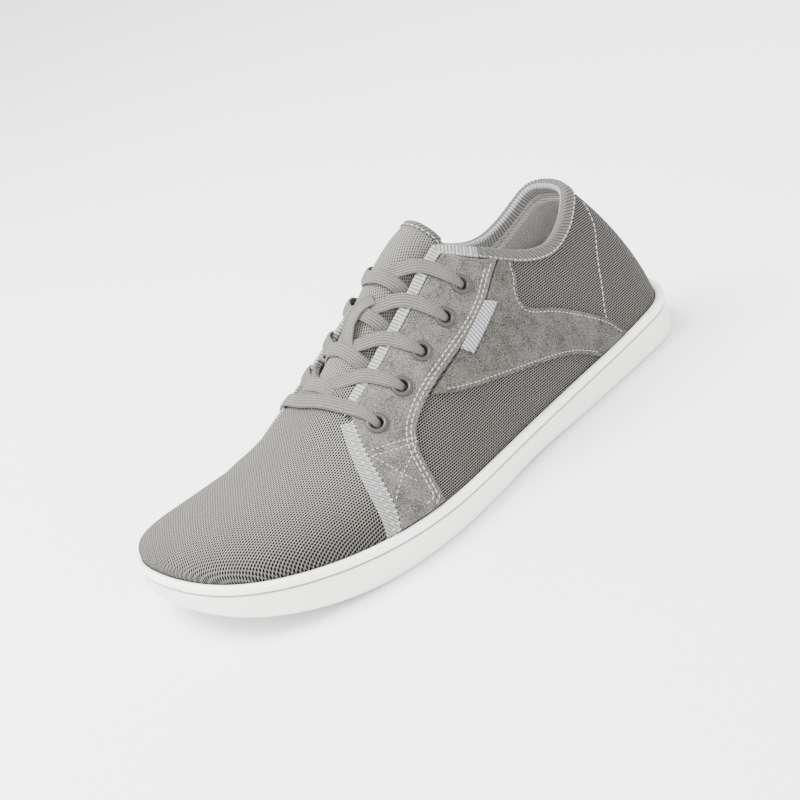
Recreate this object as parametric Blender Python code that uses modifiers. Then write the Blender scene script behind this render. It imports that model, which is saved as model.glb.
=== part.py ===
"""A low barefoot shoe for the left foot, standing empty and unbent on its sole.

Frame: +X from the heel to the toe, +Y to the outer (lateral) side, +Z up. The origin is at the middle
of the object's bounding box, on the ground. Sizes below are in millimetres and x is measured from the
back of the heel.

Everything is read off one surface, the last: sections round the sole's outline rise from the feather
edge, where the upper meets the sole, to a ridge over the instep. A place on it is a pair: phi, the
angle round the outline (0 at the heel, pi at the toe, above 0 on the lateral side, below 0 on the
medial side), and rise, the share of the way up the section (0 at the feather edge, 1 on the ridge).
"""

import math

import bpy
import bmesh
import numpy as np
from mathutils import Vector

MM = 0.001

# Driving sizes
LENGTH = 270.0          # the sole from heel to toe
BALL = 100.0            # width that the outline's shares are taken of
WALL = 2.2              # upper, knit with its lining
COLLAR_WALL = 4.2       # upper where the ankle collar is padded
PAD_BOTTOM = 52.0       # height where that padding starts, x where it ends, and how far it fades over
PAD_FRONT = 94.0
PAD_FADE = 14.0
GAP = 0.35              # between pieces that touch
SKIN_GAP = 0.5          # between an overlay and the upper, both curved
SUEDE = 1.2             # eyestay and band
TAPE = 0.8              # binding tape
TONGUE = 3.2            # padded tongue
SOLE_BASE = 4.5         # rubber under the foot
INSOLE = 3.0
LACE_WIDTH = 6.0
LACE_THICK = 1.5

# Outline of the sole, seen from above
OUTLINE = np.array((
    # along, lateral, medial: shares of the length and of the ball width
    (0.000, 0.000, 0.000),
    (0.020, 0.180, -0.180),
    (0.060, 0.280, -0.280),
    (0.130, 0.325, -0.335),
    (0.220, 0.358, -0.350),
    (0.330, 0.395, -0.338),
    (0.440, 0.438, -0.335),
    (0.540, 0.490, -0.368),
    (0.640, 0.532, -0.422),
    (0.730, 0.528, -0.456),
    (0.810, 0.486, -0.478),
    (0.880, 0.415, -0.482),
    (0.940, 0.308, -0.462),
    (0.980, 0.155, -0.390),
    (1.000, -0.145, -0.145),
))

# Sections of the last, a row for each
SECTIONS = np.array((
    # along, sole rim height, ridge height, ridge y, lateral fullness, medial fullness, bulge
    (0.00, 19.5, 103.0, 0.0, 1.31, 1.47, 0.5),
    (0.15, 17.2, 103.0, -1.2, 1.31, 1.47, 0.6),
    (0.30, 15.9, 103.0, -2.0, 1.38, 1.54, 1.0),
    (0.40, 15.2, 101.5, -2.0, 1.50, 1.70, 1.0),
    (0.50, 15.0, 89.0, -2.0, 1.48, 1.78, 0.8),
    (0.60, 15.2, 70.5, -2.3, 1.50, 1.85, 0.8),
    (0.70, 16.0, 54.8, -3.0, 1.65, 1.87, 1.0),
    (0.80, 18.0, 45.0, -4.0, 1.90, 1.92, 1.2),
    (0.90, 22.0, 41.5, -5.0, 2.15, 2.07, 1.5),
    (1.00, 27.5, 40.5, -6.0, 2.35, 2.27, 1.5),
))
RIM, RIDGE, RIDGE_Y, FULL_LATERAL, FULL_MEDIAL, BULGE = range(1, 7)

# Near the ends the sections fan out, and their tops crowd on a shorter stretch of the ridge
HEEL_FAN, HEEL_CROWD = 0.33, 0.70
TOE_FAN, TOE_CROWD = 0.72, 0.46
RIDGE_SOFT = 0.14            # rounds the ridge off, as a share of the section's half width

# Ground line of the underside, by share of the length
HEEL_ROLL = (0.08, 2.5)      # last share, lift at the very back
ARCH = (0.30, 0.56, 0.9)     # first share, last share, lift
TOE_SPRING = (0.73, 13.5)    # first share, lift at the tip

# Side of the sole: inset from the outline, and height above the ground line or below the rim
FOOT_STEPS = ((4.0, 0.0), (1.6, 0.9), (0.7, 2.8))
GROOVE = 3.7                 # of the groove under the rim band
RIM_STEPS = ((0.5, GROOVE + 0.8), (1.3, GROOVE), (0.2, GROOVE - 0.8), (0.0, 1.7), (0.7, 0.4), (1.7, 0.0))
LIP = 3.2                    # from the outline in to the upper
HEEL_LIP = 4.7               # the same at the back of the heel
HEEL_LIP_ENDS = 0.15         # share of the length where it is LIP again
CUP_DROP = 0.2               # of the rim's inner edge
INSOLE_CLEAR = 0.6           # from the upper's skirt to the insole
INSOLE_EDGE = (0.8, 0.6)     # width and height of the insole's bevel

# Top line of the collar: height at each x
COLLAR = np.array((
    # x, height
    (20.0, 82.5),
    (35.0, 81.8),
    (42.0, 77.0),
    (48.0, 73.0),
    (55.0, 70.0),
    (62.0, 68.6),
    (71.0, 69.8),
    (79.0, 73.0),
    (87.0, 77.5),
    (93.0, 81.3),
    (100.0, 85.5),
    (108.0, 92.0),
    (120.0, 108.0),
))
# Throat, the slot between the two eyestays: half its width at each x, then a round end
THROAT = np.array(((96.0, 14.5), (112.0, 14.2), (135.0, 16.0), (160.0, 16.6), (176.0, 16.6)))
THROAT_CLOSES = (174.0, 186.0)
THROAT_SHARE = 0.34          # the throat line is used beyond this share of the length
CORNER_COLUMNS = (99.0, 104.0, 108.0, 112.0)
CORNER = 0.13                # rounding where collar and throat meet, as a share of the rise

# Lines on the sides of the upper: x and height
BAND_TOP = ((86.8, 70.2), (88.1, 67.0), (92.0, 61.6), (92.6, 56.6), (84.5, 50.5), (70.4, 42.1),
            (61.3, 35.4), (52.4, 27.8), (45.0, 18.7))
BAND_FRONT = ((92.5, 73.5), (97.4, 71.1), (106.2, 65.7), (128.3, 56.1), (152.0, 48.2))
BAND_BOTTOM = ((152.0, 48.2), (141.0, 44.4), (125.1, 40.0), (103.9, 34.1), (86.9, 28.9), (75.1, 23.6),
               (64.7, 17.4))
STAY_REAR = ((94.3, 75.0), (99.1, 72.6), (107.9, 67.1), (129.9, 57.6), (153.8, 49.6), (161.8, 45.8),
             (167.7, 41.9), (170.9, 38.2), (173.4, 29.7), (174.1, 22.7), (173.9, 16.9))
TAPE_REAR = ((182.6, 51.8), (186.4, 46.9), (191.4, 36.8), (194.9, 23.6), (197.2, 17.0))
TAPE_FRONT = ((186.6, 52.2), (191.8, 46.5), (198.9, 35.0), (202.0, 23.2), (203.2, 17.5))
TAG_THICK = 1.4
TAG = ((109.4, 66.8), (130.8, 57.0), (127.8, 52.2), (104.9, 63.0))

# Eyelets, from the toe to the ankle: x and height of their places on the last
EYELETS = np.array(((177.6, 49.0), (160.4, 55.8), (145.1, 63.0), (128.6, 69.4), (114.4, 76.5)))
EYELET_HOLE = 2.5
EYELET_WALL = 0.45
# The ring's outer rim: radius, height above the suede
EYELET_RIM = ((EYELET_HOLE, 0.9), (3.7, 1.2), (4.4, 0.6), (4.1, GAP), (EYELET_HOLE + EYELET_WALL, GAP))
EYELET_SIDES = 10
HOLE = EYELET_HOLE + EYELET_WALL + GAP
CUTTER_DEPTH = 14.0

STAY_INSET = 0.085           # of the suede from the throat's edge, as a share of the rise
BINDING_DEPTH = 4.3          # how far the binding tape reaches down each face
FOLD = 0.3                   # slack of a tape folded over an edge
TONGUE_TOP = (109.5, 99.0)   # x and height of its top edge, in the middle
TONGUE_LEAN = 0.62           # how far the top edge draws back for each unit that it drops
TONGUE_FRONT = 197.0         # x of its front end, under the vamp
TONGUE_HALF = 22.0           # half its width
TONGUE_CORNER = 8.0
TONGUE_TAPED = 13.5          # half the width of the tape on its top edge
TONGUE_TAPE = 3.6            # depth of that tape
TONGUE_SINK = 5.8            # from the last down to its face along its edges
# How much higher the tongue's face is in the middle than along its edges, at each x
TONGUE_CROWN = np.array(((96.0, 7.2), (130.0, 6.2), (160.0, 4.2), (178.0, 2.2), (197.0, 1.0)))
TONGUE_ARCH = 16.5           # half the width of that crown

LACE_OVER_TAPE = 3.4         # lift of a lace's middle where it passes over the throat's binding
# A lace's way out of its eyelet: forward, towards the throat, lift above the last
LACE_OUT = ((0.0, 0.0, 0.6), (0.2, 0.4, 3.4), (1.6, 4.6, 5.2))
LACE_AT_EDGE = 4.2           # forward of the eyelet where it passes the throat's edge
LACE_WIDTHS = (2.6, 3.0, LACE_WIDTH * 0.8) + (LACE_WIDTH,) * 5
LACE_REST = 0.9              # gap under a lace that lies on the tongue
LACE_OVER = 0.9              # lift of the lace that passes over the other
LACE_FAR_END = 6.0           # from the far edge of the throat back to the end of a crossing
BAR_FORWARD = 4.5            # of the first bar's middle from its eyelets
BAR_LIFT = 1.8               # of that middle above the last
LOOP = ((154.0, 5.0), (150.0, 9.5), (142.0, 10.5), (134.0, 9.0), (131.0, 4.0))   # x, off the ridge
LOOP_LIFT = 0.3

COLUMNS = 32                 # sections from heel to toe on each side
ROWS = 7


def spline(knots, values, at):
    """Natural cubic spline through the knots."""
    knots, values, at = (np.asarray(a, float) for a in (knots, values, at))
    step = np.diff(knots)
    slope = np.diff(values) / step
    count = len(knots)
    matrix = np.eye(count)
    right = np.zeros(count)
    for i in range(1, count - 1):
        matrix[i, i - 1:i + 2] = step[i - 1], 2 * (step[i - 1] + step[i]), step[i]
        right[i] = 6 * (slope[i] - slope[i - 1])
    bend = np.linalg.solve(matrix, right)
    k = np.clip(np.searchsorted(knots, at) - 1, 0, count - 2)
    t = at - knots[k]
    first = slope[k] - step[k] * (2 * bend[k] + bend[k + 1]) / 6
    return values[k] + t * (first + t * (bend[k] / 2 + t * (bend[k + 1] - bend[k]) / (6 * step[k])))


def smooth_step(t):
    t = np.clip(t, 0, 1)
    return t * t * (3 - 2 * t)


def share_of(phi):
    """Share of the length at this angle round the outline."""
    return (1 - np.cos(phi)) / 2


def angle_of(x, side):
    return side * np.arccos(np.clip(1 - 2 * np.asarray(x, float) / LENGTH, -1, 1))


def section(column, share):
    return spline(SECTIONS[:, 0], SECTIONS[:, column], share)


def outline_point(phi):
    turn = np.arccos(1 - 2 * OUTLINE[:, 0])
    around = np.abs((phi + np.pi) % (2 * np.pi) - np.pi)
    lateral = spline(turn, OUTLINE[:, 1], around)
    medial = spline(turn, OUTLINE[:, 2], around)
    return LENGTH * share_of(phi), BALL * np.where(np.sin(phi) >= 0, lateral, medial)


def inset_outline(phi, inset):
    """Outline of the sole, moved inwards."""
    x0, y0 = outline_point(phi - 1e-3)
    x1, y1 = outline_point(phi + 1e-3)
    x, y = outline_point(phi)
    size = np.hypot(x1 - x0, y1 - y0)
    return x + inset * (y1 - y0) / size, y - inset * (x1 - x0) / size


def ground(share):
    """Height of the sole's underside."""
    roll = HEEL_ROLL[1] * np.clip(1 - share / HEEL_ROLL[0], 0, 1) ** 2
    waist = np.clip((share - ARCH[0]) / (ARCH[1] - ARCH[0]), 0, 1)
    spring = TOE_SPRING[1] * np.clip((share - TOE_SPRING[0]) / (1 - TOE_SPRING[0]), 0, 1) ** 2
    return roll + ARCH[2] * np.sin(np.pi * waist) ** 2 + spring


def ridge_share(share):
    """Where on the ridge the section that starts at this share of the length ends."""
    heel = np.clip(1 - share / HEEL_FAN, 0, 1)
    toe = np.clip((share - TOE_FAN) / (1 - TOE_FAN), 0, 1)
    out = np.where(share < HEEL_FAN, HEEL_FAN * (1 - heel + HEEL_CROWD * heel ** 2), share)
    return np.where(share > TOE_FAN, TOE_FAN + (1 - TOE_FAN) * (toe - TOE_CROWD * toe ** 2), out)


def lip_at(share):
    """Inset of the upper from the sole's outline."""
    return LIP + (HEEL_LIP - LIP) * np.clip(1 - share / HEEL_LIP_ENDS, 0, 1)


def feather(phi):
    """Foot of each section, where the upper leaves the sole."""
    share = share_of(phi)
    x, y = inset_outline(phi, lip_at(share))
    return x, y, section(RIM, share)


def soft_ridge(out):
    """Distance from the ridge, 0 to 1, flattened near 0 so that the ridge has no crease."""
    return (np.hypot(out, RIDGE_SOFT) - RIDGE_SOFT) / (math.hypot(1, RIDGE_SOFT) - RIDGE_SOFT)


def sharp_ridge(soft):
    """The reverse of soft_ridge."""
    full = soft * (math.hypot(1, RIDGE_SOFT) - RIDGE_SOFT) + RIDGE_SOFT
    return np.sqrt((full ** 2 - RIDGE_SOFT ** 2).clip(0))


def last_point(phi, rise):
    """Points of the last as an array with x, y, z in its last axis."""
    phi, rise = np.broadcast_arrays(np.asarray(phi, float), np.asarray(rise, float))
    share = share_of(phi)
    x, y, z = feather(phi)
    top = ridge_share(share)
    medial, lateral = section(FULL_MEDIAL, top), section(FULL_LATERAL, top)
    full = medial + (lateral - medial) * (1 + np.sin(phi)) / 2
    inward = 1 - np.cos(np.pi / 2 * rise).clip(0) ** (2 / full)
    upward = (1 - soft_ridge(1 - inward) ** full).clip(0) ** (1 / full)
    dx, dy = LENGTH * top - x, section(RIDGE_Y, top) - y
    out = section(BULGE, share) * np.sin(np.pi * upward) / np.hypot(dx, dy)
    return np.stack((x + dx * (inward - out), y + dy * (inward - out),
                     z + (section(RIDGE, top) - z) * upward), -1)


def last_normal(phi, rise):
    step = 2e-3
    high = np.minimum(rise + step, 1)
    along = last_point(phi + step, rise) - last_point(phi - step, rise)
    up = last_point(phi, high) - last_point(phi, high - 2 * step)
    normal = np.cross(along, up) * -1
    return normal / np.linalg.norm(normal, axis=-1, keepdims=True)


def lifted(phi, rise, lift):
    """Points at this distance outside the last."""
    return last_point(phi, rise) + last_normal(phi, rise) * np.asarray(lift)[..., None]


def on_last(x, z, side):
    """phi and rise of the place with this x and height."""
    x, z = np.asarray(x, float), np.asarray(z, float)
    share = x / LENGTH
    for _ in range(40):
        phi = angle_of(LENGTH * share, side)
        top = ridge_share(share)
        foot = section(RIM, share)
        medial, lateral = section(FULL_MEDIAL, top), section(FULL_LATERAL, top)
        full = medial + (lateral - medial) * (1 + np.sin(phi)) / 2
        upward = np.clip((z - foot) / (section(RIDGE, top) - foot), 0, 1)
        out = sharp_ridge((1 - upward ** full) ** (1 / full))
        rise = np.arccos(np.clip(out, 0, 1) ** (full / 2)) * 2 / np.pi
        share = np.clip(share + 0.7 * (x - last_point(phi, rise)[..., 0]) / LENGTH, 0.001, 0.999)
    return phi, rise


def half_throat(x):
    closing = np.clip((x - THROAT_CLOSES[0]) / (THROAT_CLOSES[1] - THROAT_CLOSES[0]), 0, 1)
    return np.interp(x, THROAT[:, 0], THROAT[:, 1]) * np.sqrt(1 - closing ** 2)


def first_rise(phi, beyond):
    """Lowest rise at which `beyond` of the point there turns positive, 1 where it never does."""
    tries = np.linspace(0, 1, 201)
    values = beyond(last_point(phi[:, None], tries[None]))
    values[:, -1] = 1
    k = np.argmax(values > 0, axis=1)
    row = np.arange(len(phi))
    before, after = values[row, k - 1], values[row, k]
    return np.where(values[row, k - 1] > 0, 0, tries[k - 1] + (tries[1]) * -before / (after - before))


def top_rise(phi):
    """Rise of the upper's free edge at each phi: the collar, the throat, or 1 over the closed vamp."""
    phi = np.atleast_1d(phi)
    collar = first_rise(phi, lambda p: p[..., 2] - spline(COLLAR[:, 0], COLLAR[:, 1], p[..., 0]))

    def in_throat(p):
        middle = section(RIDGE_Y, p[..., 0] / LENGTH)
        return half_throat(p[..., 0]) - np.abs(p[..., 1] - middle)

    share = share_of(phi)
    throat = np.where(share > THROAT_SHARE, first_rise(phi, in_throat), 1.0)
    collar = np.where(share > COLLAR[-1, 0] / LENGTH, 1.0, collar)
    apart = np.clip(1 - np.abs(collar - throat) / CORNER, 0, 1)
    rise = np.minimum(collar, throat) - CORNER / 4 * apart ** 2
    return np.where(share > THROAT_CLOSES[1] / LENGTH - 1e-6, 1.0, rise)


def smooth_line(points, count, equal=True):
    """A curve through a few points, read at equal steps of its length or of its points' numbers."""
    points = np.asarray(points, float)
    length = np.concatenate(([0], np.cumsum(np.linalg.norm(np.diff(points, axis=0), axis=1))))
    steps = np.linspace(0, 1, count)
    numbers = np.linspace(0, 1, len(points))
    at = steps * length[-1] if equal else np.interp(steps, numbers, length)
    return np.stack([spline(length, points[:, k], at) for k in range(points.shape[1])], -1)


def side_line(table, side, count):
    """A line of the side view as phi and rise."""
    line = smooth_line(table, count)
    return np.stack(on_last(line[:, 0], line[:, 1], side), -1)


def new_object(name, bm, collection, material):
    mesh = bpy.data.meshes.new(name)
    bm.to_mesh(mesh)
    bm.free()
    obj = bpy.data.objects.new(name, mesh)
    collection.objects.link(obj)
    if material:
        mesh.materials.append(material)
    mesh.shade_smooth()
    mesh.set_sharp_from_angle(angle=math.radians(40))
    return obj


def grid_mesh(rings, wrap_u, wrap_v, caps):
    """Joins rows of points (count, count, 3) into quads; caps closes the first and last rows."""
    bm = bmesh.new()
    rows, cols = rings.shape[:2]
    points = [[bm.verts.new(ORIGIN_SHIFT + p * MM) for p in row] for row in rings]
    for i in range(rows if wrap_u else rows - 1):
        for j in range(cols if wrap_v else cols - 1):
            a, b = points[i][j], points[i][(j + 1) % cols]
            c, d = points[(i + 1) % rows][(j + 1) % cols], points[(i + 1) % rows][j]
            bm.faces.new((a, b, c, d))
    if caps == "ladder":
        for row in (points[0], points[-1]):
            half = cols // 2
            for k in range(half):
                corners = (row[k], row[k + 1], row[(cols - 1 - k) % cols], row[(cols - k) % cols])
                bm.faces.new(dict.fromkeys(corners))
    if caps == "flat":
        bm.faces.new(points[0])
        bm.faces.new(points[-1])
    bmesh.ops.remove_doubles(bm, verts=bm.verts, dist=1e-6)
    bmesh.ops.recalc_face_normals(bm, faces=bm.faces)
    return bm


def slab(name, low, high, material):
    """A closed piece between two like grids of points, `low` inside and `high` outside."""
    rows, cols = low.shape[:2]
    around = [(i, 0) for i in range(rows)] + [(rows - 1, j) for j in range(1, cols)]
    around += [(i, cols - 1) for i in range(rows - 2, -1, -1)] + [(0, j) for j in range(cols - 2, 0, -1)]
    bm = bmesh.new()
    layers = [[[bm.verts.new(ORIGIN_SHIFT + p * MM) for p in row] for row in layer] for layer in (low, high)]
    for layer in layers:
        for i in range(rows - 1):
            for j in range(cols - 1):
                bm.faces.new((layer[i][j], layer[i][j + 1], layer[i + 1][j + 1], layer[i + 1][j]))
    for k, (i, j) in enumerate(around):
        m, n = around[(k + 1) % len(around)]
        bm.faces.new((layers[0][i][j], layers[0][m][n], layers[1][m][n], layers[1][i][j]))
    bmesh.ops.recalc_face_normals(bm, faces=bm.faces)
    return new_object(name, bm, shoe, material)


def overlay(name, first, second, across, lift, thick, material):
    """A skin on the upper between two lines, each a list of phi and rise."""
    t = np.linspace(0, 1, across)[None, :, None]
    places = first[:, None] * (1 - t) + second[:, None] * t
    phi, rise = places[..., 0], places[..., 1]
    return slab(name, lifted(phi, rise, np.full(phi.shape, lift)),
                lifted(phi, rise, np.full(phi.shape, lift + thick)), material)


def finish(name, colour, roughness, metallic=0.0):
    material = bpy.data.materials.new(name)
    material.use_nodes = True
    shader = material.node_tree.nodes["Principled BSDF"]
    shader.inputs["Base Color"].default_value = (*colour, 1.0)
    shader.inputs["Roughness"].default_value = roughness
    shader.inputs["Metallic"].default_value = metallic
    material.diffuse_color = (*colour, 1.0)
    return material


def both_sides():
    return (("lateral", 1), ("medial", -1))


for old in list(bpy.data.objects):
    bpy.data.objects.remove(old, do_unlink=True)

shoe = bpy.data.collections.new("barefoot_shoe")
cutters = bpy.data.collections.new("cutters")
bpy.context.scene.collection.children.link(shoe)
bpy.context.scene.collection.children.link(cutters)

rubber = finish("white_rubber", (0.80, 0.79, 0.76), 0.55)
knit = finish("grey_knit", (0.36, 0.36, 0.34), 0.90)
suede = finish("grey_suede", (0.40, 0.39, 0.37), 0.95)
tape = finish("silver_twill_tape", (0.55, 0.55, 0.54), 0.70)
lining = finish("grey_lining", (0.25, 0.25, 0.25), 0.90)
lace_cloth = finish("grey_lace", (0.38, 0.38, 0.36), 0.85)
ring_paint = finish("grey_painted_metal", (0.22, 0.22, 0.21), 0.45)

# The outline's box gives the origin: the sole is the widest and longest piece
dense = np.linspace(-np.pi, np.pi, 2001)
box_x, box_y = outline_point(dense)
ORIGIN_SHIFT = -np.array((box_x.max() + box_x.min(), box_y.max() + box_y.min(), 0.0)) / 2 * MM

# Angles of the sections: even steps, and a few more at the eyestay's corner and the throat's round end
steps = np.linspace(0, np.pi, COLUMNS + 1)
closing = np.radians((0, 30, 52, 72, 90))
throat_end = THROAT_CLOSES[0] + (THROAT_CLOSES[1] - THROAT_CLOSES[0]) * np.sin(closing)
added = angle_of(np.concatenate((CORNER_COLUMNS, throat_end)), 1)
steps = steps[np.abs(steps[:, None] - added).min(1) > 0.03]
half_angles = np.sort(np.concatenate((steps, added)))
around = np.concatenate((half_angles, -half_angles[-2:0:-1]))


def floor_height(share):
    return ground(share) + SOLE_BASE


def build_sole():
    """Cup sole: rings from the flat underside up the side, over the rim and down inside."""
    share = share_of(around)
    low, rim = ground(share), section(RIM, share)
    cup = lip_at(share) - GAP
    rings = []
    for inset, height in FOOT_STEPS:
        rings.append((*inset_outline(around, inset), low + height))
    for inset, drop in RIM_STEPS:
        rings.append((*inset_outline(around, inset), rim - drop))
    for height in (rim - CUP_DROP, floor_height(share)):
        rings.append((*inset_outline(around, cup), height))
    rings = np.array([np.stack(ring, -1) for ring in rings])
    new_object("sole", grid_mesh(rings, False, True, "ladder"), shoe, rubber)


def build_insole():
    """Flat footbed on the sole's floor, inside the upper's skirt."""
    coarse = around[::2]
    share = share_of(coarse)
    inset = lip_at(share) + WALL + INSOLE_CLEAR
    low = floor_height(share) + GAP
    steps_up = ((0.0, 0.0), (0.0, INSOLE - INSOLE_EDGE[1]), (INSOLE_EDGE[0], INSOLE))
    rings = [(*inset_outline(coarse, inset + more), low + height) for more, height in steps_up]
    rings = np.array([np.stack(ring, -1) for ring in rings])
    new_object("insole", grid_mesh(rings, False, True, "ladder"), shoe, lining)


def wall_at(place):
    """Thickness of the upper: padded round the ankle."""
    high = smooth_step((place[..., 2] - PAD_BOTTOM) / PAD_FADE)
    return WALL + (COLLAR_WALL - WALL) * high * smooth_step((PAD_FRONT - place[..., 0]) / PAD_FADE)


def build_upper():
    """One hollow knit body: open at the collar, along the throat and underneath."""
    top = top_rise(around)
    share = share_of(around)
    x, y, rim = feather(around)
    rows = [np.stack((x, y, floor_height(share) + GAP), -1)]
    for k in range(ROWS + 1):
        rows.append(last_point(around, top * k / ROWS))
    rings = np.array(rows)
    bm = grid_mesh(rings, False, True, "")
    weights = bm.verts.layers.deform.verify()
    for vert in bm.verts:
        place = (np.array(vert.co) - ORIGIN_SHIFT) / MM
        vert[weights][0] = wall_at(place) / COLLAR_WALL
    obj = new_object("upper", bm, shoe, knit)
    obj.vertex_groups.new(name="thickness")
    shell = obj.modifiers.new("wall", "SOLIDIFY")
    shell.thickness = COLLAR_WALL * MM
    shell.offset = -1
    shell.vertex_group = "thickness"
    shell.thickness_vertex_group = 0
    return obj


def cut_holes(obj):
    """Cuts the eyelet holes on the object's own side or sides."""
    for cutter in cutters.objects:
        if obj.name == "upper" or obj.name.split("_")[-1] in cutter.name:
            hole = obj.modifiers.new("hole", "BOOLEAN")
            hole.operation = "DIFFERENCE"
            hole.solver = "EXACT"
            hole.object = cutter


def eyelet_places(side):
    return on_last(EYELETS[:, 0], EYELETS[:, 1], side)


def turned(profile, centre, normal, name, collection, material):
    """A ring with this profile of radius and height about the normal."""
    count = EYELET_SIDES
    side_axis = np.cross(normal, (1.0, 0.0, 0.0))
    side_axis /= np.linalg.norm(side_axis)
    front_axis = np.cross(normal, side_axis)
    rings = []
    for k in range(count):
        turn = 2 * np.pi * k / count
        out = math.cos(turn) * side_axis + math.sin(turn) * front_axis
        rings.append([centre + out * radius + normal * height for radius, height in profile])
    return new_object(name, grid_mesh(np.array(rings), True, True, ""), collection, material)


def build_eyelets():
    """Painted rings with a barrel through suede and knit, and the cutters of their holes."""
    rim = [(radius, SKIN_GAP + SUEDE + height) for radius, height in EYELET_RIM]
    profile = [(EYELET_HOLE, -WALL), *rim, (EYELET_HOLE + EYELET_WALL, -WALL)]
    for label, side in both_sides():
        for number, (phi, rise) in enumerate(zip(*eyelet_places(side)), 1):
            centre, normal = last_point(phi, rise), last_normal(phi, rise)
            turned(profile, centre, normal, f"eyelet_{label}_{number}", shoe, ring_paint)
            bm = bmesh.new()
            bmesh.ops.create_cone(bm, cap_ends=True, segments=EYELET_SIDES, radius1=HOLE * MM,
                                  radius2=HOLE * MM, depth=CUTTER_DEPTH * MM)
            cutter = new_object(f"hole_{label}_{number}", bm, cutters, None)
            cutter.location = ORIGIN_SHIFT + centre * MM
            cutter.rotation_mode = "QUATERNION"
            cutter.rotation_quaternion = Vector(normal).to_track_quat("Z", "Y")
            cutter.hide_render = True
            cutter.display_type = "WIRE"


def throat_places(side, count, x_from, x_to, below):
    """The line that runs this share of the rise below the throat's edge."""
    phi = angle_of(np.linspace(x_from, x_to, count), side)
    return np.stack((phi, top_rise(phi) - below), -1)


def build_overlays():
    """Suede eyestays and bands, and the tape down the front edge of each quarter."""
    for label, side in both_sides():
        edge = throat_places(side, 9, 108.0, 177.0, STAY_INSET)
        front = side_line(TAPE_REAR, side, 8)[1:]
        stay_front = resampled(np.concatenate((edge, front)), 19)
        stay_rear = side_line(STAY_REAR, side, 19)
        overlay(f"eyestay_{label}", stay_front, stay_rear, 5, SKIN_GAP, SUEDE, suede)
        band_low = np.concatenate((side_line(BAND_FRONT, side, 7), side_line(BAND_BOTTOM, side, 9)[1:]))
        overlay(f"band_{label}", side_line(BAND_TOP, side, 15), band_low, 5, SKIN_GAP, SUEDE, suede)
        overlay(f"front_tape_{label}", side_line(TAPE_FRONT, side, 10),
                side_line(TAPE_REAR, side, 10) + (0.006 * side, 0.0), 3, SKIN_GAP, TAPE, tape)
    tag_lines = [side_line(line, 1, 6) for line in (TAG[:2], (TAG[3], TAG[2]))]
    overlay("side_tag", *tag_lines, 3, 2 * SKIN_GAP + SUEDE, TAG_THICK, tape)


def resampled(line, count):
    """The same line of phi and rise at equal steps of its real length."""
    points = last_point(line[:, 0], line[:, 1])
    length = np.concatenate(([0], np.cumsum(np.linalg.norm(np.diff(points, axis=0), axis=1))))
    at = np.linspace(0, length[-1], count)
    return np.stack([np.interp(at, length, line[:, k]) for k in range(2)], -1)


def instep_height(x, y):
    """Height of the last over the throat, from the plan place."""
    x, y = np.broadcast_arrays(np.asarray(x, float), np.asarray(y, float))
    middle = section(RIDGE_Y, x / LENGTH)
    phi = angle_of(x, np.where(y >= middle, 1, -1))
    low, high = np.zeros(x.shape), np.ones(x.shape)
    for _ in range(30):
        rise = (low + high) / 2
        outside = np.abs(last_point(phi, rise)[..., 1] - middle) > np.abs(y - middle)
        low, high = np.where(outside, rise, low), np.where(outside, high, rise)
    return last_point(phi, low)[..., 2]


def over_instep(x, y, lift):
    """Points at this distance from the last over the throat, and its normal there."""
    x, y = np.broadcast_arrays(np.asarray(x, float), np.asarray(y, float))
    slope_x = (instep_height(x + 2, y) - instep_height(x - 2, y)) / 4
    slope_y = (instep_height(x, y + 2) - instep_height(x, y - 2)) / 4
    normal = np.stack((-slope_x, -slope_y, np.ones(x.shape)), -1)
    normal /= np.linalg.norm(normal, axis=-1, keepdims=True)
    return np.stack((x, y, instep_height(x, y)), -1) + normal * np.asarray(lift)[..., None], normal


def tongue_lift(x, off):
    """Lift of the tongue's face above the last, at this distance off the ridge."""
    crown = np.interp(x, TONGUE_CROWN[:, 0], TONGUE_CROWN[:, 1])
    return crown * np.clip(1 - (off / TONGUE_ARCH) ** 2, 0, 1) - TONGUE_SINK


def tongue_edge(off):
    """x of the tongue's top edge at this distance off the ridge."""
    x = np.full(np.shape(off), TONGUE_TOP[0])
    for _ in range(12):
        height = instep_height(x, off + section(RIDGE_Y, x / LENGTH))
        x = TONGUE_TOP[0] - TONGUE_LEAN * (TONGUE_TOP[1] - height)
    past = ((np.abs(off) - TONGUE_HALF + TONGUE_CORNER) / TONGUE_CORNER).clip(0, 1)
    return x + TONGUE_CORNER * (1 - np.sqrt(1 - past ** 2))


def build_tongue():
    """Padded tongue: from under the vamp up through the throat, wider than it; and its taped edge."""
    taped = np.linspace(-TONGUE_TAPED, TONGUE_TAPED, 9)
    beside = np.linspace(TONGUE_TAPED, TONGUE_HALF, 4)[1:]
    off = np.concatenate((-beside[::-1], taped, beside))
    along = np.linspace(0, 1, 11)[:, None]
    x = TONGUE_FRONT + (tongue_edge(off) - TONGUE_FRONT) * along
    y = off + section(RIDGE_Y, x / LENGTH)
    lift = tongue_lift(x, off)
    slab("tongue", over_instep(x, y, lift - TONGUE)[0], over_instep(x, y, lift)[0], knit)

    off = taped
    x = tongue_edge(off)
    y = off + section(RIDGE_Y, x / LENGTH)
    edge, normal = over_instep(x, y, tongue_lift(x, off))
    inside = over_instep(x + TONGUE_TAPE, y, tongue_lift(x + TONGUE_TAPE, off))[0] - edge
    bound_edge("tongue_binding", edge, normal, inside, np.full(len(off), TONGUE), TAPE, TONGUE_TAPE)


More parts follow.
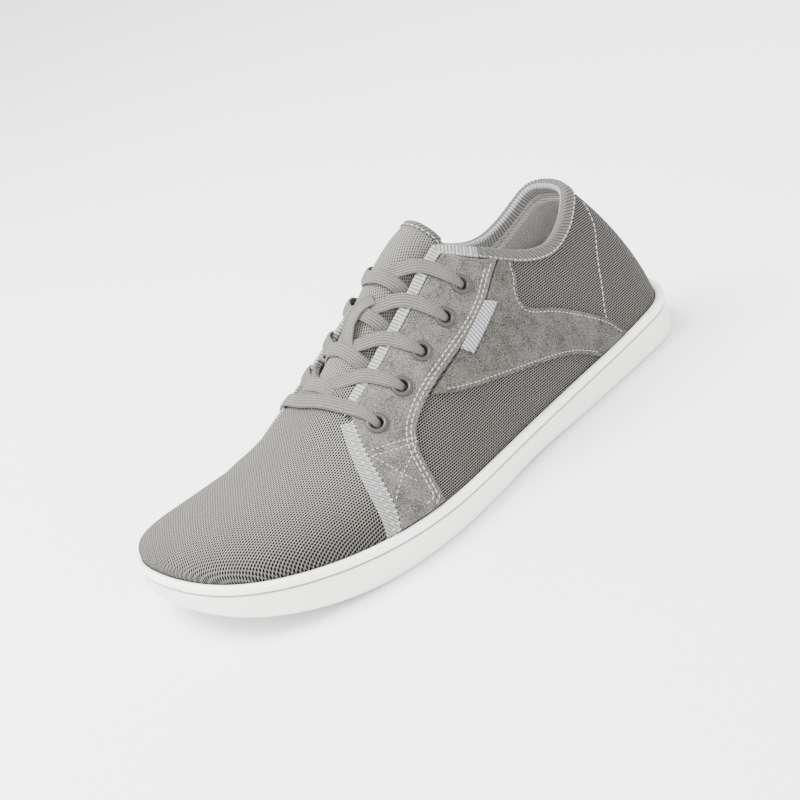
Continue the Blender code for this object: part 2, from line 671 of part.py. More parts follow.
def bound_edge(name, edge, normal, inside, wall, clear, depth):
    """Tape folded over an edge: a U round a wall that lies behind the edge's points."""
    along = np.gradient(edge, axis=0)
    down = np.cross(along, normal)
    down *= np.sign((down * inside).sum(-1))[:, None]
    down /= np.linalg.norm(down, axis=-1, keepdims=True)
    wall = wall[:, None]
    out = clear + TAPE
    back = -wall - clear - FOLD
    loop = ((clear, depth), (out, depth), (out, -FOLD), (-wall / 2, -clear - TAPE - FOLD),
            (back - TAPE, -FOLD), (back - TAPE, depth), (back, depth), (back, -clear), (clear, -clear))
    rings = [edge + normal * across + down * deep for across, deep in loop]
    new_object(name, grid_mesh(np.stack(rings, 1), False, True, "flat"), shoe, tape)


def build_collar_binding():
    """One tape round the collar and down both edges of the throat."""
    phi = np.sort(around[share_of(around) < THROAT_CLOSES[0] / LENGTH + 1e-6])
    rise = top_rise(phi)
    edge = last_point(phi, rise)
    inside = last_point(phi, rise - 0.05) - edge
    bound_edge("collar_binding", edge, last_normal(phi, rise), inside, wall_at(edge), SKIN_GAP,
               BINDING_DEPTH)


def lace_strip(name, route, widths, collection):
    """Flat lace along a route of x, y and lift above the last."""
    count = 2 * len(route) - 1
    route = smooth_line(route, count, equal=False)
    widths = np.interp(np.linspace(0, 1, count), np.linspace(0, 1, len(widths)), widths)
    middle, normal = over_instep(route[:, 0], route[:, 1], route[:, 2])
    along = np.gradient(middle, axis=0)
    across = np.cross(along, normal)
    across /= np.linalg.norm(across, axis=-1, keepdims=True)
    up = np.cross(across, along)
    up /= np.linalg.norm(up, axis=-1, keepdims=True)
    loop = ((0.5, 0), (0.36, 0.5), (-0.36, 0.5), (-0.5, 0), (-0.36, -0.5), (0.36, -0.5))
    rings = [middle + across * (widths * w)[:, None] + up * LACE_THICK * t for w, t in loop]
    return new_object(name, grid_mesh(np.stack(rings, 1), False, True, "flat"), collection, lace_cloth)


def from_eyelet(number, side):
    """Route of a lace out of an eyelet and over the throat's edge."""
    phi, rise = (values[number] for values in eyelet_places(side))
    x, y, _ = last_point(phi, rise)
    out = x + LACE_AT_EDGE
    edge = section(RIDGE_Y, out / LENGTH) + side * (half_throat(out) + 0.5)
    route = [(x + forward, y - side * inward, lift) for forward, inward, lift in LACE_OUT]
    return route + [(out, edge, LACE_OVER_TAPE)]


def crossing(number, side, over):
    """Route from an eyelet, across the tongue, to just inside the other edge of the throat."""
    here, there = EYELETS[number, 0], EYELETS[number - 1, 0]
    route = from_eyelet(number, side)
    middle = (here + there) / 2 + 1.5
    for share, off in ((0.0, 0.0), (0.8, 1.0)):
        x = middle + (there - middle) * share
        off *= half_throat(x) - LACE_FAR_END
        lift = tongue_lift(x, off) + LACE_THICK / 2 + LACE_REST + (LACE_OVER if over and off == 0 else 0.0)
        route.append((x, section(RIDGE_Y, x / LENGTH) - side * off, lift))
    return route


def build_laces():
    """A bar at the foot of the throat and three crossings above; the middle one takes two rows."""
    near, far = from_eyelet(0, 1), from_eyelet(0, -1)
    x = EYELETS[0, 0] + BAR_FORWARD
    middle = (x, section(RIDGE_Y, x / LENGTH), BAR_LIFT)
    bar_widths = LACE_WIDTHS[:4] + (LACE_WIDTH,) + LACE_WIDTHS[3::-1]
    lace_strip("lace_bar_1", near + [middle] + far[::-1], bar_widths, shoe)
    for name, rows in (("lace_crossing_2", (1,)), ("lace_crossing_3_4", (2, 3)), ("lace_crossing_5", (4,))):
        strips = []
        for row in rows:
            for side in (1, -1):
                home = cutters if strips else shoe
                label = name if not strips else f"{name}_{len(strips)}"
                strips.append(lace_strip(label, crossing(row, side, side < 0), LACE_WIDTHS, home))
        if len(rows) == 2:
            strips.append(lace_strip(name + "_loop", loop_route(), (LACE_WIDTH,) * 2, cutters))
        for other in strips[1:]:
            other.hide_render = True
            other.display_type = "WIRE"
            join = strips[0].modifiers.new("join", "BOOLEAN")
            join.operation = "UNION"
            join.solver = "EXACT"
            join.object = other


def loop_route():
    """The loop along the medial edge that joins the third row to the fourth."""
    route = []
    for x, off in LOOP:
        lift = tongue_lift(x, off) + LACE_THICK + 2 * GAP + LOOP_LIFT
        route.append((x, section(RIDGE_Y, x / LENGTH) - off, lift))
    return route


build_sole()
build_insole()
upper = build_upper()
build_eyelets()
build_overlays()
build_tongue()
build_collar_binding()
build_laces()
for piece in [o for o in shoe.objects if o.name == "upper" or o.name.startswith("eyestay")]:
    cut_holes(piece)
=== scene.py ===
"""A low grey barefoot shoe for the left foot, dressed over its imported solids.

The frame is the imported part's: +X from heel to toe, +Y to the outer (lateral) side, +Z up, in metres.
Sizes below are in millimetres. x is measured from the back of the heel, y from the line that the
sole's outline is drawn about, and z from the ground.
"""
import math

import bpy
import numpy as np
from mathutils import Matrix, Vector


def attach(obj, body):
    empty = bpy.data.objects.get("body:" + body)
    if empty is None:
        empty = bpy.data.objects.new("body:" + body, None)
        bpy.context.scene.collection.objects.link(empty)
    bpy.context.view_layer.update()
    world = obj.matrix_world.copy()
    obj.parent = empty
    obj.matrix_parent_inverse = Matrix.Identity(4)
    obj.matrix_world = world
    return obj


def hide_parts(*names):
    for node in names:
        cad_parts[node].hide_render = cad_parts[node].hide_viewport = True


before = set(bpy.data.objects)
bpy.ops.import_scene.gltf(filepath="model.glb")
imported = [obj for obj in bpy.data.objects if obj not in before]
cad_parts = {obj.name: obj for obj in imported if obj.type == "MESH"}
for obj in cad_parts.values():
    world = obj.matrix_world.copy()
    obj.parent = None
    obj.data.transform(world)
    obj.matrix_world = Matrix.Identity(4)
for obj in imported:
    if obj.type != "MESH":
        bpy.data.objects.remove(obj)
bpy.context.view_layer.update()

# Cup sole
# One moulded cup of off-white rubber that the upper is glued into. A smooth band runs round its rim
# over a fine moulded groove, and the side below it is faintly grained. Thin and flat, with toe spring.
MM = 0.001
LENGTH = 270.0
BALL = 100.0
OUTLINE = np.array((
    # along, lateral, medial: shares of the length and of the ball width
    (0.000, 0.000, 0.000), (0.020, 0.180, -0.180), (0.060, 0.280, -0.280), (0.130, 0.325, -0.335),
    (0.220, 0.358, -0.350), (0.330, 0.395, -0.338), (0.440, 0.438, -0.335), (0.540, 0.490, -0.368),
    (0.640, 0.532, -0.422), (0.730, 0.528, -0.456), (0.810, 0.486, -0.478), (0.880, 0.415, -0.482),
    (0.940, 0.308, -0.462), (0.980, 0.155, -0.390), (1.000, -0.145, -0.145),
))
SECTIONS = np.array((
    # along, sole rim height, ridge height, ridge y, lateral fullness, medial fullness, bulge
    (0.00, 19.5, 103.0, 0.0, 1.31, 1.47, 0.5),
    (0.15, 17.2, 103.0, -1.2, 1.31, 1.47, 0.6),
    (0.30, 15.9, 103.0, -2.0, 1.38, 1.54, 1.0),
    (0.40, 15.2, 101.5, -2.0, 1.50, 1.70, 1.0),
    (0.50, 15.0, 89.0, -2.0, 1.48, 1.78, 0.8),
    (0.60, 15.2, 70.5, -2.3, 1.50, 1.85, 0.8),
    (0.70, 16.0, 54.8, -3.0, 1.65, 1.87, 1.0),
    (0.80, 18.0, 45.0, -4.0, 1.90, 1.92, 1.2),
    (0.90, 22.0, 41.5, -5.0, 2.15, 2.07, 1.5),
    (1.00, 27.5, 40.5, -6.0, 2.35, 2.27, 1.5),
))
RIM, RIDGE, RIDGE_Y, FULL_LATERAL, FULL_MEDIAL, BULGE = range(1, 7)
HEEL_ROLL = (0.08, 2.5)        # last share, lift at the very back
ARCH = (0.30, 0.56, 0.9)       # first share, last share, lift
TOE_SPRING = (0.73, 13.5)      # first share, lift at the tip
SOLE_BASE = 4.5                # rubber under the foot
LIP, HEEL_LIP, HEEL_LIP_ENDS = 3.2, 4.7, 0.15   # inset of the upper, and at the heel up to this share
GAP = 0.35                     # between the upper and the cup
# Inset and height above the ground line, from the flat underside up to the side
FOOT_STEPS = ((4.0, 0.0), (3.2, 0.08), (2.4, 0.35), (1.7, 0.85), (1.2, 1.5), (0.9, 2.2), (0.75, 2.8))
# Inset and depth below the rim: side, groove, smooth rim band with a rounded top
RIM_STEPS = ((0.52, 4.75), (0.62, 4.5), (1.4, 4.3), (2.2, 4.15), (2.2, 3.95), (1.2, 3.75), (0.45, 3.5),
             (0.22, 3.2), (0.08, 2.6), (0.05, 2.0), (0.12, 1.35), (0.35, 0.75), (0.75, 0.3), (1.3, 0.05),
             (1.9, 0.0))
TREAD_PITCH, TREAD_DEPTH = 5.2, 0.7
TREAD_WAVE = (2.2, 18.0)       # sway of the tread's grooves and its length across the sole
AROUND = 480                   # points round the outline, from the toe by the medial side and the heel
LATERAL = np.arange(AROUND // 2 + 1, AROUND)
MEDIAL = np.arange(AROUND // 2 - 1, 0, -1)  # the twins of these points across the sole


def spline(knots, values, at):
    """Natural cubic spline through the knots."""
    knots, values, at = (np.asarray(a, float) for a in (knots, values, at))
    step = np.diff(knots)
    slope = np.diff(values) / step
    count = len(knots)
    matrix = np.eye(count)
    right = np.zeros(count)
    for i in range(1, count - 1):
        matrix[i, i - 1:i + 2] = step[i - 1], 2 * (step[i - 1] + step[i]), step[i]
        right[i] = 6 * (slope[i] - slope[i - 1])
    bend = np.linalg.solve(matrix, right)
    k = np.clip(np.searchsorted(knots, at) - 1, 0, count - 2)
    t = at - knots[k]
    first = slope[k] - step[k] * (2 * bend[k] + bend[k + 1]) / 6
    return values[k] + t * (first + t * (bend[k] / 2 + t * (bend[k + 1] - bend[k]) / (6 * step[k])))


def smooth_step(t):
    t = np.clip(t, 0, 1)
    return t * t * (3 - 2 * t)


def unit(vectors):
    return vectors / np.linalg.norm(vectors, axis=-1, keepdims=True)


def run_along(points, axis=0):
    """Distance covered along one axis of a grid of points, from 0 at its start."""
    steps = np.linalg.norm(np.diff(points, axis=axis), axis=-1)
    return np.concatenate((np.zeros_like(np.take(steps, [0], axis)), np.cumsum(steps, axis)), axis)


def ruled(first, second, t):
    """A grid of points between two lines, at these shares of the way."""
    t = np.atleast_2d(t)[..., None]
    return first[:, None] * (1 - t) + second[:, None] * t


def share_of(phi):
    """Share of the length at this angle round the outline: 0 at the heel, pi at the toe."""
    return (1 - np.cos(phi)) / 2


def angle_of(x, side):
    return side * np.arccos(np.clip(1 - 2 * np.asarray(x, float) / LENGTH, -1, 1))


def section(column, share):
    return spline(SECTIONS[:, 0], SECTIONS[:, column], share)


def outline_point(phi):
    turn = np.arccos(1 - 2 * OUTLINE[:, 0])
    around = np.abs((phi + np.pi) % (2 * np.pi) - np.pi)
    lateral = spline(turn, OUTLINE[:, 1], around)
    medial = spline(turn, OUTLINE[:, 2], around)
    return LENGTH * share_of(phi), BALL * np.where(np.sin(phi) >= 0, lateral, medial)


def inset_outline(phi, inset):
    """Outline of the sole, moved inwards."""
    x0, y0 = outline_point(phi - 1e-3)
    x1, y1 = outline_point(phi + 1e-3)
    x, y = outline_point(phi)
    size = np.hypot(x1 - x0, y1 - y0)
    return x + inset * (y1 - y0) / size, y - inset * (x1 - x0) / size


def ground(share):
    """Height of the sole's underside."""
    roll = HEEL_ROLL[1] * np.clip(1 - share / HEEL_ROLL[0], 0, 1) ** 2
    waist = np.clip((share - ARCH[0]) / (ARCH[1] - ARCH[0]), 0, 1)
    spring = TOE_SPRING[1] * np.clip((share - TOE_SPRING[0]) / (1 - TOE_SPRING[0]), 0, 1) ** 2
    return roll + ARCH[2] * np.sin(np.pi * waist) ** 2 + spring


def lip_at(share):
    """Inset of the upper from the sole's outline."""
    return LIP + (HEEL_LIP - LIP) * np.clip(1 - share / HEEL_LIP_ENDS, 0, 1)


def rgba(code):
    """An sRGB hex colour as linear light."""
    channels = [int(code[k:k + 2], 16) / 255 for k in (1, 3, 5)]
    return (*[c / 12.92 if c < 0.04045 else ((c + 0.055) / 1.055) ** 2.4 for c in channels], 1.0)


def add(tree, kind, settings=None, links=None):
    """Adds a node. A setting is a property or an input, and a link comes from a node or a socket."""
    node = tree.nodes.new(kind)
    for key, value in (settings or {}).items():
        if isinstance(key, int) or key in node.inputs:
            node.inputs[key].default_value = value
        else:
            setattr(node, key, value)
    for key, source in (links or {}).items():
        if isinstance(source, bpy.types.Node):
            source = next(socket for socket in source.outputs if socket.enabled)
        tree.links.new(source, node.inputs[key])
    return node


def surface(name, colour, settings):
    """A material with one Principled shader: returns it, its tree and the shader."""
    material = bpy.data.materials.new(name)
    material.use_nodes = True
    shader = material.node_tree.nodes["Principled BSDF"]
    shader.inputs["Base Color"].default_value = rgba(colour)
    for key, value in settings.items():
        shader.inputs[key].default_value = value
    return material, material.node_tree, shader


def plus_share(tree, share, first, second):
    """`second` with this share of `first` added."""
    return add(tree, "ShaderNodeMath", {"operation": "MULTIPLY_ADD", 1: share}, {0: first, 2: second})


def colour_and_bump(tree, shader, dark, light, tone, strength, depth, height):
    """The shader's colour runs from dark to light with `tone`, and its bump follows `height`."""
    tint = add(tree, "ShaderNodeMix", {"data_type": "RGBA", 6: rgba(dark), 7: rgba(light)}, {0: tone})
    relief = add(tree, "ShaderNodeBump", {"Strength": strength, "Distance": depth * MM}, {"Height": height})
    tree.links.new(tint.outputs[2], shader.inputs["Base Color"])
    tree.links.new(relief.outputs[0], shader.inputs["Normal"])


def put(name, data):
    """A new object of the scene with this mesh, lamp or lens."""
    obj = bpy.data.objects.new(name, data)
    bpy.context.scene.collection.objects.link(obj)
    return obj


def finished(name, mesh, materials, sharp):
    """Gives a mesh its materials, smooth shading and edges that stay sharp above this angle."""
    for material in materials:
        mesh.materials.append(material)
    mesh.shade_smooth()
    mesh.set_sharp_from_angle(angle=math.radians(sharp))
    return put(name, mesh)


def shell(name, outer, inner, materials, uv, zone=0, wrap=False, keep=None, inside=0):
    """A closed piece between two like grids of points (rows, columns, 3), `outer` and `inner`.

    `uv` holds one map of the grid for each material, in millimetres, and `zone` the material of each
    cell outside. `keep` leaves cells out, with a wall round each gap. `wrap` joins the last column to
    the first, and then uv has one column more. `inside` is the material of the inner face.
    """
    rows, cols = outer.shape[:2]
    wide = cols if wrap else cols - 1
    keep = np.ones((rows - 1, wide), bool) if keep is None else keep
    zone = np.broadcast_to(np.asarray(zone), keep.shape)
    i, j = np.nonzero(keep)
    near, far = j, (j + 1) % cols
    corners = np.stack((i * cols + near, i * cols + far, (i + 1) * cols + far, (i + 1) * cols + near), 1)
    places = np.stack((np.stack((i, j), 1), np.stack((i, j + 1), 1), np.stack((i + 1, j + 1), 1),
                       np.stack((i + 1, j), 1)), 1)
    first = outer.reshape(-1, 3)[corners[len(corners) // 2]]
    beneath = inner.reshape(-1, 3)[corners[len(corners) // 2]]
    flip = (np.cross(first[1] - first[0], first[3] - first[0]) * (first - beneath)[0]).sum() < 0
    order = [3, 2, 1, 0] if flip else [0, 1, 2, 3]
    back = order[::-1]
    total = rows * cols
    faces = [corners[:, order], corners[:, back] + total]
    spots = [places[:, order], places[:, back]]
    kinds = [zone[i, j], np.full(len(i), inside)]
    # Walls where a cell has no neighbour
    for side, (di, dj) in enumerate(((-1, 0), (0, 1), (1, 0), (0, -1))):
        ni, nj = i + di, j + dj
        if wrap:
            nj = nj % wide
        outside = (ni < 0) | (ni >= rows - 1) | (nj < 0) | (nj >= wide)
        ni, nj = np.clip(ni, 0, rows - 2), np.clip(nj, 0, wide - 1)
        open_edge = outside | ~keep[ni, nj]
        a, b = corners[open_edge, side], corners[open_edge, (side + 1) % 4]
        pa, pb = places[open_edge, side], places[open_edge, (side + 1) % 4]
        wall = np.stack((b, a, a + total, b + total), 1)
        spot = np.stack((pb, pa, pa, pb), 1)
        if flip:
            wall, spot = wall[:, ::-1], spot[:, ::-1]
        faces.append(wall)
        spots.append(spot)
        kinds.append(zone[i, j][open_edge])
    faces, spots, kinds = (np.concatenate(part) for part in (faces, spots, kinds))
    points = np.concatenate((outer.reshape(-1, 3), inner.reshape(-1, 3)))
    used = np.unique(faces)
    renumber = np.zeros(len(points), int)
    renumber[used] = np.arange(len(used))
    mesh = bpy.data.meshes.new(name)
    mesh.from_pydata((points[used] + SHIFT) * MM, [], renumber[faces].tolist())
    mesh.polygons.foreach_set("material_index", kinds.astype(np.int32))
    maps = np.array(uv)
    if maps.ndim == 3:
        maps = maps[None]
    which = np.minimum(kinds, len(maps) - 1)
    loops = maps[which[:, None], spots[..., 0], spots[..., 1]]
    mesh.uv_layers.new(name="weave").data.foreach_set("uv", loops.astype(np.float32).ravel())
    return finished(name, mesh, materials, 50)


def place(obj, slot, *nodes):
    """The piece rides on the shoe's one body and stands for these solids."""
    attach(obj, "root")
    if nodes:
        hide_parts(*nodes)


dense_x, dense_y = outline_point(np.linspace(-np.pi, np.pi, 2001))
SHIFT = -np.array((dense_x.max() + dense_x.min(), dense_y.max() + dense_y.min(), 0.0)) / 2

# Moulded rubber: an even satin skin, with soft wide highlights
smooth_rubber, _, _ = surface("moulded_white_rubber", "#f3f1ec", {"Roughness": 0.38, "IOR": 1.52})

# The foot of the groove in grey rubber: painted shade for the shadow that falls into the deep narrow groove
groove_shade_rubber, _, _ = surface("painted_shade_groove_rubber", "#b3b0a8", {"Roughness": 0.8,
                                                                 "Specular IOR Level": 0.1})

# The same rubber from a blasted mould: a fine grain that greys it. Real grain is about 0.2 mm, drawn
# at 0.6 mm so that it shows
grained_rubber, tree, shader = surface("grained_white_rubber", "#e9e7e0", {"Roughness": 0.62, "IOR": 1.52})
spot = add(tree, "ShaderNodeTexCoord")
grain = add(tree, "ShaderNodeTexNoise", {"Scale": 1 / (0.6 * MM), "Detail": 2.0},
            {"Vector": spot.outputs["Object"]})
colour_and_bump(tree, shader, "#e4e1da", "#efede7", grain, 0.35, 0.15, grain)

around = np.linspace(-np.pi, np.pi, AROUND, endpoint=False)
share = share_of(around)
low, rim = ground(share), section(RIM, share)
cup = lip_at(share) - GAP
profile = [(inset, low + height) for inset, height in FOOT_STEPS]
for t in np.linspace(0, 1, 6)[1:-1]:
    inset = FOOT_STEPS[-1][0] * (1 - t) + RIM_STEPS[0][0] * t
    profile.append((inset, (low + FOOT_STEPS[-1][1]) * (1 - t) + (rim - RIM_STEPS[0][1]) * t))
grained_rows = len(profile) + 3
profile += [(inset, rim - drop) for inset, drop in RIM_STEPS]
profile += [(cup - 0.3, rim - 0.05), (cup, rim - 0.4), (cup, low + SOLE_BASE + 1.0),
            (cup + 0.8, low + SOLE_BASE), (cup + 8.0, low + SOLE_BASE)]
outer = np.array([np.stack((*inset_outline(around, inset), height), -1) for inset, height in profile])


def sole_mesh():
    """Side and cup as rings, and a fine grid with a wave tread for the underside."""
    mesh_points = [outer.reshape(-1, 3)]
    faces, kinds = [], []
    rows = len(outer)
    for i in range(rows - 1):
        for j in range(AROUND):
            k = (j + 1) % AROUND
            faces.append((i * AROUND + j, i * AROUND + k, (i + 1) * AROUND + k, (i + 1) * AROUND + j))
            # The groove's deepest rows get the grey rubber: painted shade
            in_groove = abs(i - grained_rows + 1) < 2
            kinds.append(2 if in_groove else 0 if i < grained_rows else 1)
    half = AROUND // 2
    # Underside and floor of the cup: strips from each lateral point to its medial twin
    for ring, up, count in ((0, False, 72), (rows - 1, True, 4)):
        start = ring * AROUND
        grid = np.zeros((half - 1, count + 1), int)
        grid[:, 0] = start + LATERAL
        grid[:, -1] = start + MEDIAL
        first, last = outer[ring][LATERAL], outer[ring][MEDIAL]
        base = sum(len(p) for p in mesh_points)
        t = np.linspace(0, 1, count + 1)[1:-1]
        inner_points = ruled(first, last, t)
        if not up:
            x, y = inner_points[..., 0], inner_points[..., 1]
            width = np.linalg.norm(last - first, axis=1)[:, None]
            edge = np.minimum(t[None] * width, (1 - t[None]) * width)
            sway = TREAD_WAVE[0] * np.cos(2 * np.pi * y / TREAD_WAVE[1])
            wave = np.cos(2 * np.pi * (x + sway) / TREAD_PITCH)
            groove = smooth_step((wave - 0.1) / 0.5) * smooth_step((edge - 3.0) / 1.2)
            inner_points[..., 2] += TREAD_DEPTH * groove
        mesh_points.append(inner_points.reshape(-1, 3))
        grid[:, 1:-1] = base + np.arange(inner_points.shape[0] * inner_points.shape[1]).reshape(
            inner_points.shape[:2])
        heel, toe = start + half, start
        for row in range(half - 2):
            for col in range(count):
                quad = (grid[row, col], grid[row, col + 1], grid[row + 1, col + 1], grid[row + 1, col])
                faces.append(quad if up else quad[::-1])
                kinds.append(0)
        for tip, row in ((heel, 0), (toe, half - 2)):
            fan = (tip, *grid[row])
            faces.append(fan if (row == 0) != up else fan[::-1])
            kinds.append(0)
    points = (np.concatenate(mesh_points) + SHIFT) * MM
    mesh = bpy.data.meshes.new("sole_visual")
    mesh.from_pydata(points, [], [tuple(int(v) for v in face) for face in faces])
    mesh.polygons.foreach_set("material_index", np.array(kinds, np.int32))
    return mesh


sole = finished("cup_sole", sole_mesh(), (grained_rubber, smooth_rubber, groove_shade_rubber), 50)
place(sole, "white_rubber", "sole")

# Upper: vamp and quarters
# A knit body pulled over the last and glued into the cup: a fine knit over the toes, and a more open
# mesh from the tape back round the heel, lined with a soft weave and padded round the ankle.
HEEL_FAN, HEEL_CROWD = 0.33, 0.70   # the sections fan out behind this share, and how closely
TOE_FAN, TOE_CROWD = 0.72, 0.46
RIDGE_SOFT = 0.14              # share of each section that the ridge rounds off
# Edge of the collar: x, height
COLLAR = np.array(((20.0, 82.5), (35.0, 81.8), (42.0, 77.0), (48.0, 73.0), (55.0, 70.0), (62.0, 68.6),
                   (71.0, 69.8), (79.0, 73.0), (87.0, 77.5), (93.0, 81.3), (100.0, 85.5), (108.0, 92.0),
                   (120.0, 108.0)))
# Half the throat's width: x, distance off the ridge
THROAT = np.array(((96.0, 14.5), (112.0, 14.6), (135.0, 17.0), (160.0, 17.9), (186.0, 17.9)))
THROAT_CLOSES = (158.0, 174.0)  # where the vamp starts to run on as the tongue, under the laces
THROAT_SHARE = 0.34             # no section behind this share meets the throat
CORNER = 0.13                   # rise over which the collar runs into the throat
WALL = 2.2
PAD = 4.6                       # wall with the ankle padding
UP = 84                         # rows from the sole to the edge
VAMP_REACH = (20.0, 150.0)      # the vamp's knit runs on along the throat: off the ridge, from x
# The tape, where vamp and quarter meet
TAPE_LINE = np.array(((17.0, 199.6), (23.1, 197.7), (35.6, 194.2), (46.5, 188.0), (52.0, 183.6)))  # z, x
VAMP_CENTRE = (200.0, -3.0, 49.0)
# Soft creases and swells: x, height, side, along, up, slope, rise or fall
CREASES = (
    (214.0, 33.0, 1, 3.2, 13.0, 0.25, -0.45),
    (222.0, 31.0, 1, 3.6, 12.0, 0.22, 0.30),
    (207.0, 36.0, 1, 3.0, 12.0, 0.30, 0.22),
    (216.0, 33.0, -1, 3.4, 12.0, 0.25, -0.40),
    (208.0, 36.0, -1, 3.2, 12.0, 0.30, 0.25),
    (136.0, 28.0, 1, 16.0, 6.0, -0.1, 0.55),
    (103.0, 22.0, 1, 14.0, 4.5, 0.1, 0.40),
    (58.0, 50.0, 1, 10.0, 9.0, 0.2, 0.45),
    (40.0, 42.0, 1, 5.0, 16.0, -0.5, -0.40),
    (136.0, 28.0, -1, 16.0, 6.0, -0.1, 0.45),
    (58.0, 50.0, -1, 10.0, 9.0, 0.2, 0.40),
    (42.0, 42.0, -1, 5.0, 16.0, -0.5, -0.35),
)


def ridge_share(share):
    """Where on the ridge the section that starts at this share of the length ends."""
    heel = np.clip(1 - share / HEEL_FAN, 0, 1)
    toe = np.clip((share - TOE_FAN) / (1 - TOE_FAN), 0, 1)
    out = np.where(share < HEEL_FAN, HEEL_FAN * (1 - heel + HEEL_CROWD * heel ** 2), share)
    return np.where(share > TOE_FAN, TOE_FAN + (1 - TOE_FAN) * (toe - TOE_CROWD * toe ** 2), out)


def feather(phi):
    """Foot of each section, where the upper leaves the sole."""
    share = share_of(phi)
    x, y = inset_outline(phi, lip_at(share))
    return x, y, section(RIM, share)


def soft_ridge(out):
    """Distance from the ridge, 0 to 1, flattened near 0 so that the ridge has no crease."""
    return (np.hypot(out, RIDGE_SOFT) - RIDGE_SOFT) / (math.hypot(1, RIDGE_SOFT) - RIDGE_SOFT)


def sharp_ridge(soft):
    """The reverse of soft_ridge."""
    full = soft * (math.hypot(1, RIDGE_SOFT) - RIDGE_SOFT) + RIDGE_SOFT
    return np.sqrt((full ** 2 - RIDGE_SOFT ** 2).clip(0))


def last_point(phi, rise):
    """Points of the last: phi goes round the outline, rise from 0 at the sole to 1 on the ridge."""
    phi, rise = np.broadcast_arrays(np.asarray(phi, float), np.asarray(rise, float))
    share = share_of(phi)
    x, y, z = feather(phi)
    top = ridge_share(share)
    medial, lateral = section(FULL_MEDIAL, top), section(FULL_LATERAL, top)
    full = medial + (lateral - medial) * (1 + np.sin(phi)) / 2
    inward = 1 - np.cos(np.pi / 2 * rise).clip(0) ** (2 / full)
    upward = (1 - soft_ridge(1 - inward) ** full).clip(0) ** (1 / full)
    dx, dy = LENGTH * top - x, section(RIDGE_Y, top) - y
    out = section(BULGE, share) * np.sin(np.pi * upward) / np.hypot(dx, dy)
    return np.stack((x + dx * (inward - out), y + dy * (inward - out),
                     z + (section(RIDGE, top) - z) * upward), -1)


def last_normal(phi, rise):
    step = 2e-3
    high = np.clip(rise + step, 3 * step, 1)
    along = last_point(phi + step, rise) - last_point(phi - step, rise)
    up = last_point(phi, high) - last_point(phi, high - 2 * step)
    return unit(-np.cross(along, up))


def creased(points):
    """How far the knit stands off the last at these points."""
    out = np.zeros(points.shape[:-1])
    for x, z, side, along, up, slope, height in CREASES:
        down = (points[..., 2] - z) / up
        across = (points[..., 0] - x - slope * (points[..., 2] - z)) / along
        out += height * np.exp(-across ** 2 - down ** 2) * (points[..., 1] * side > -4)
    return out


def lifted(phi, rise, lift):
    """Points at this distance outside the knit."""
    base = last_point(phi, rise)
    return base + last_normal(phi, rise) * (np.asarray(lift) + creased(base))[..., None]


def skin(places, lift):
    """The same for a line or a grid of places, each a phi and a rise."""
    return lifted(places[..., 0], places[..., 1], lift)


def on_last(x, z, side):
    """phi and rise of the place with this x and height."""
    x, z = np.asarray(x, float), np.asarray(z, float)
    share = x / LENGTH
    for _ in range(40):
        phi = angle_of(LENGTH * share, side)
        top = ridge_share(share)
        foot = section(RIM, share)
        medial, lateral = section(FULL_MEDIAL, top), section(FULL_LATERAL, top)
        full = medial + (lateral - medial) * (1 + np.sin(phi)) / 2
        upward = np.clip((z - foot) / (section(RIDGE, top) - foot), 0, 1)
        out = sharp_ridge((1 - upward ** full) ** (1 / full))
        rise = np.arccos(np.clip(out, 0, 1) ** (full / 2)) * 2 / np.pi
        share = np.clip(share + 0.7 * (x - last_point(phi, rise)[..., 0]) / LENGTH, 0.001, 0.999)
    return phi, rise


def half_throat(x, closes=THROAT_CLOSES):
    closing = np.clip((x - closes[0]) / (closes[1] - closes[0]), 0, 1)
    return np.interp(x, THROAT[:, 0], THROAT[:, 1]) * np.sqrt(1 - closing ** 2)


def first_rise(phi, beyond):
    """Lowest rise at which `beyond` of the point there turns positive, 1 where it never does."""
    tries = np.linspace(0, 1, 401)
    values = beyond(last_point(phi[:, None], tries[None]))
    values[:, -1] = 1
    k = np.argmax(values > 0, axis=1)
    row = np.arange(len(phi))
    before, after = values[row, k - 1], values[row, k]
    return np.where(values[row, k - 1] > 0, 0, tries[k - 1] - tries[1] * before / (after - before))


def top_rise(phi, closes=THROAT_CLOSES):
    """Rise of the upper's free edge at each phi: the collar, the throat, or 1 over the closed vamp."""
    phi = np.atleast_1d(phi)
    collar = first_rise(phi, lambda p: p[..., 2] - spline(COLLAR[:, 0], COLLAR[:, 1], p[..., 0]))

    def in_throat(p):
        middle = section(RIDGE_Y, p[..., 0] / LENGTH)
        return half_throat(p[..., 0], closes) - np.abs(p[..., 1] - middle)

    share = share_of(phi)
    throat = np.where(share > THROAT_SHARE, first_rise(phi, in_throat), 1.0)
    collar = np.where(share > COLLAR[-1, 0] / LENGTH, 1.0, collar)
    apart = np.clip(1 - np.abs(collar - throat) / CORNER, 0, 1)
    rise = np.minimum(collar, throat) - CORNER / 4 * apart ** 2
    return np.where(share > closes[1] / LENGTH - 1e-6, 1.0, rise)


def smooth_line(points, count):
    """A curve through a few points, read at equal steps of its length."""
    points = np.asarray(points, float)
    length = run_along(points)
    at = np.linspace(0, 1, count) * length[-1]
    return np.stack([spline(length, points[:, k], at) for k in range(points.shape[1])], -1)


def side_line(table, side, count):
    """A line of the side view as phi and rise."""
    line = smooth_line(table, count)
    return np.stack(on_last(line[:, 0], line[:, 1], side), -1)


def eyelet_places(side):
    return on_last(EYELETS[:, 0], EYELETS[:, 1], side)


# x and height of the eyelets, from the toe to the ankle
EYELETS = np.array(((177.6, 49.0), (160.4, 55.8), (145.1, 63.0), (128.6, 69.4), (114.4, 76.5)))
EYELET_CUT = 3.3                # radius that the knit and suede are cut away to

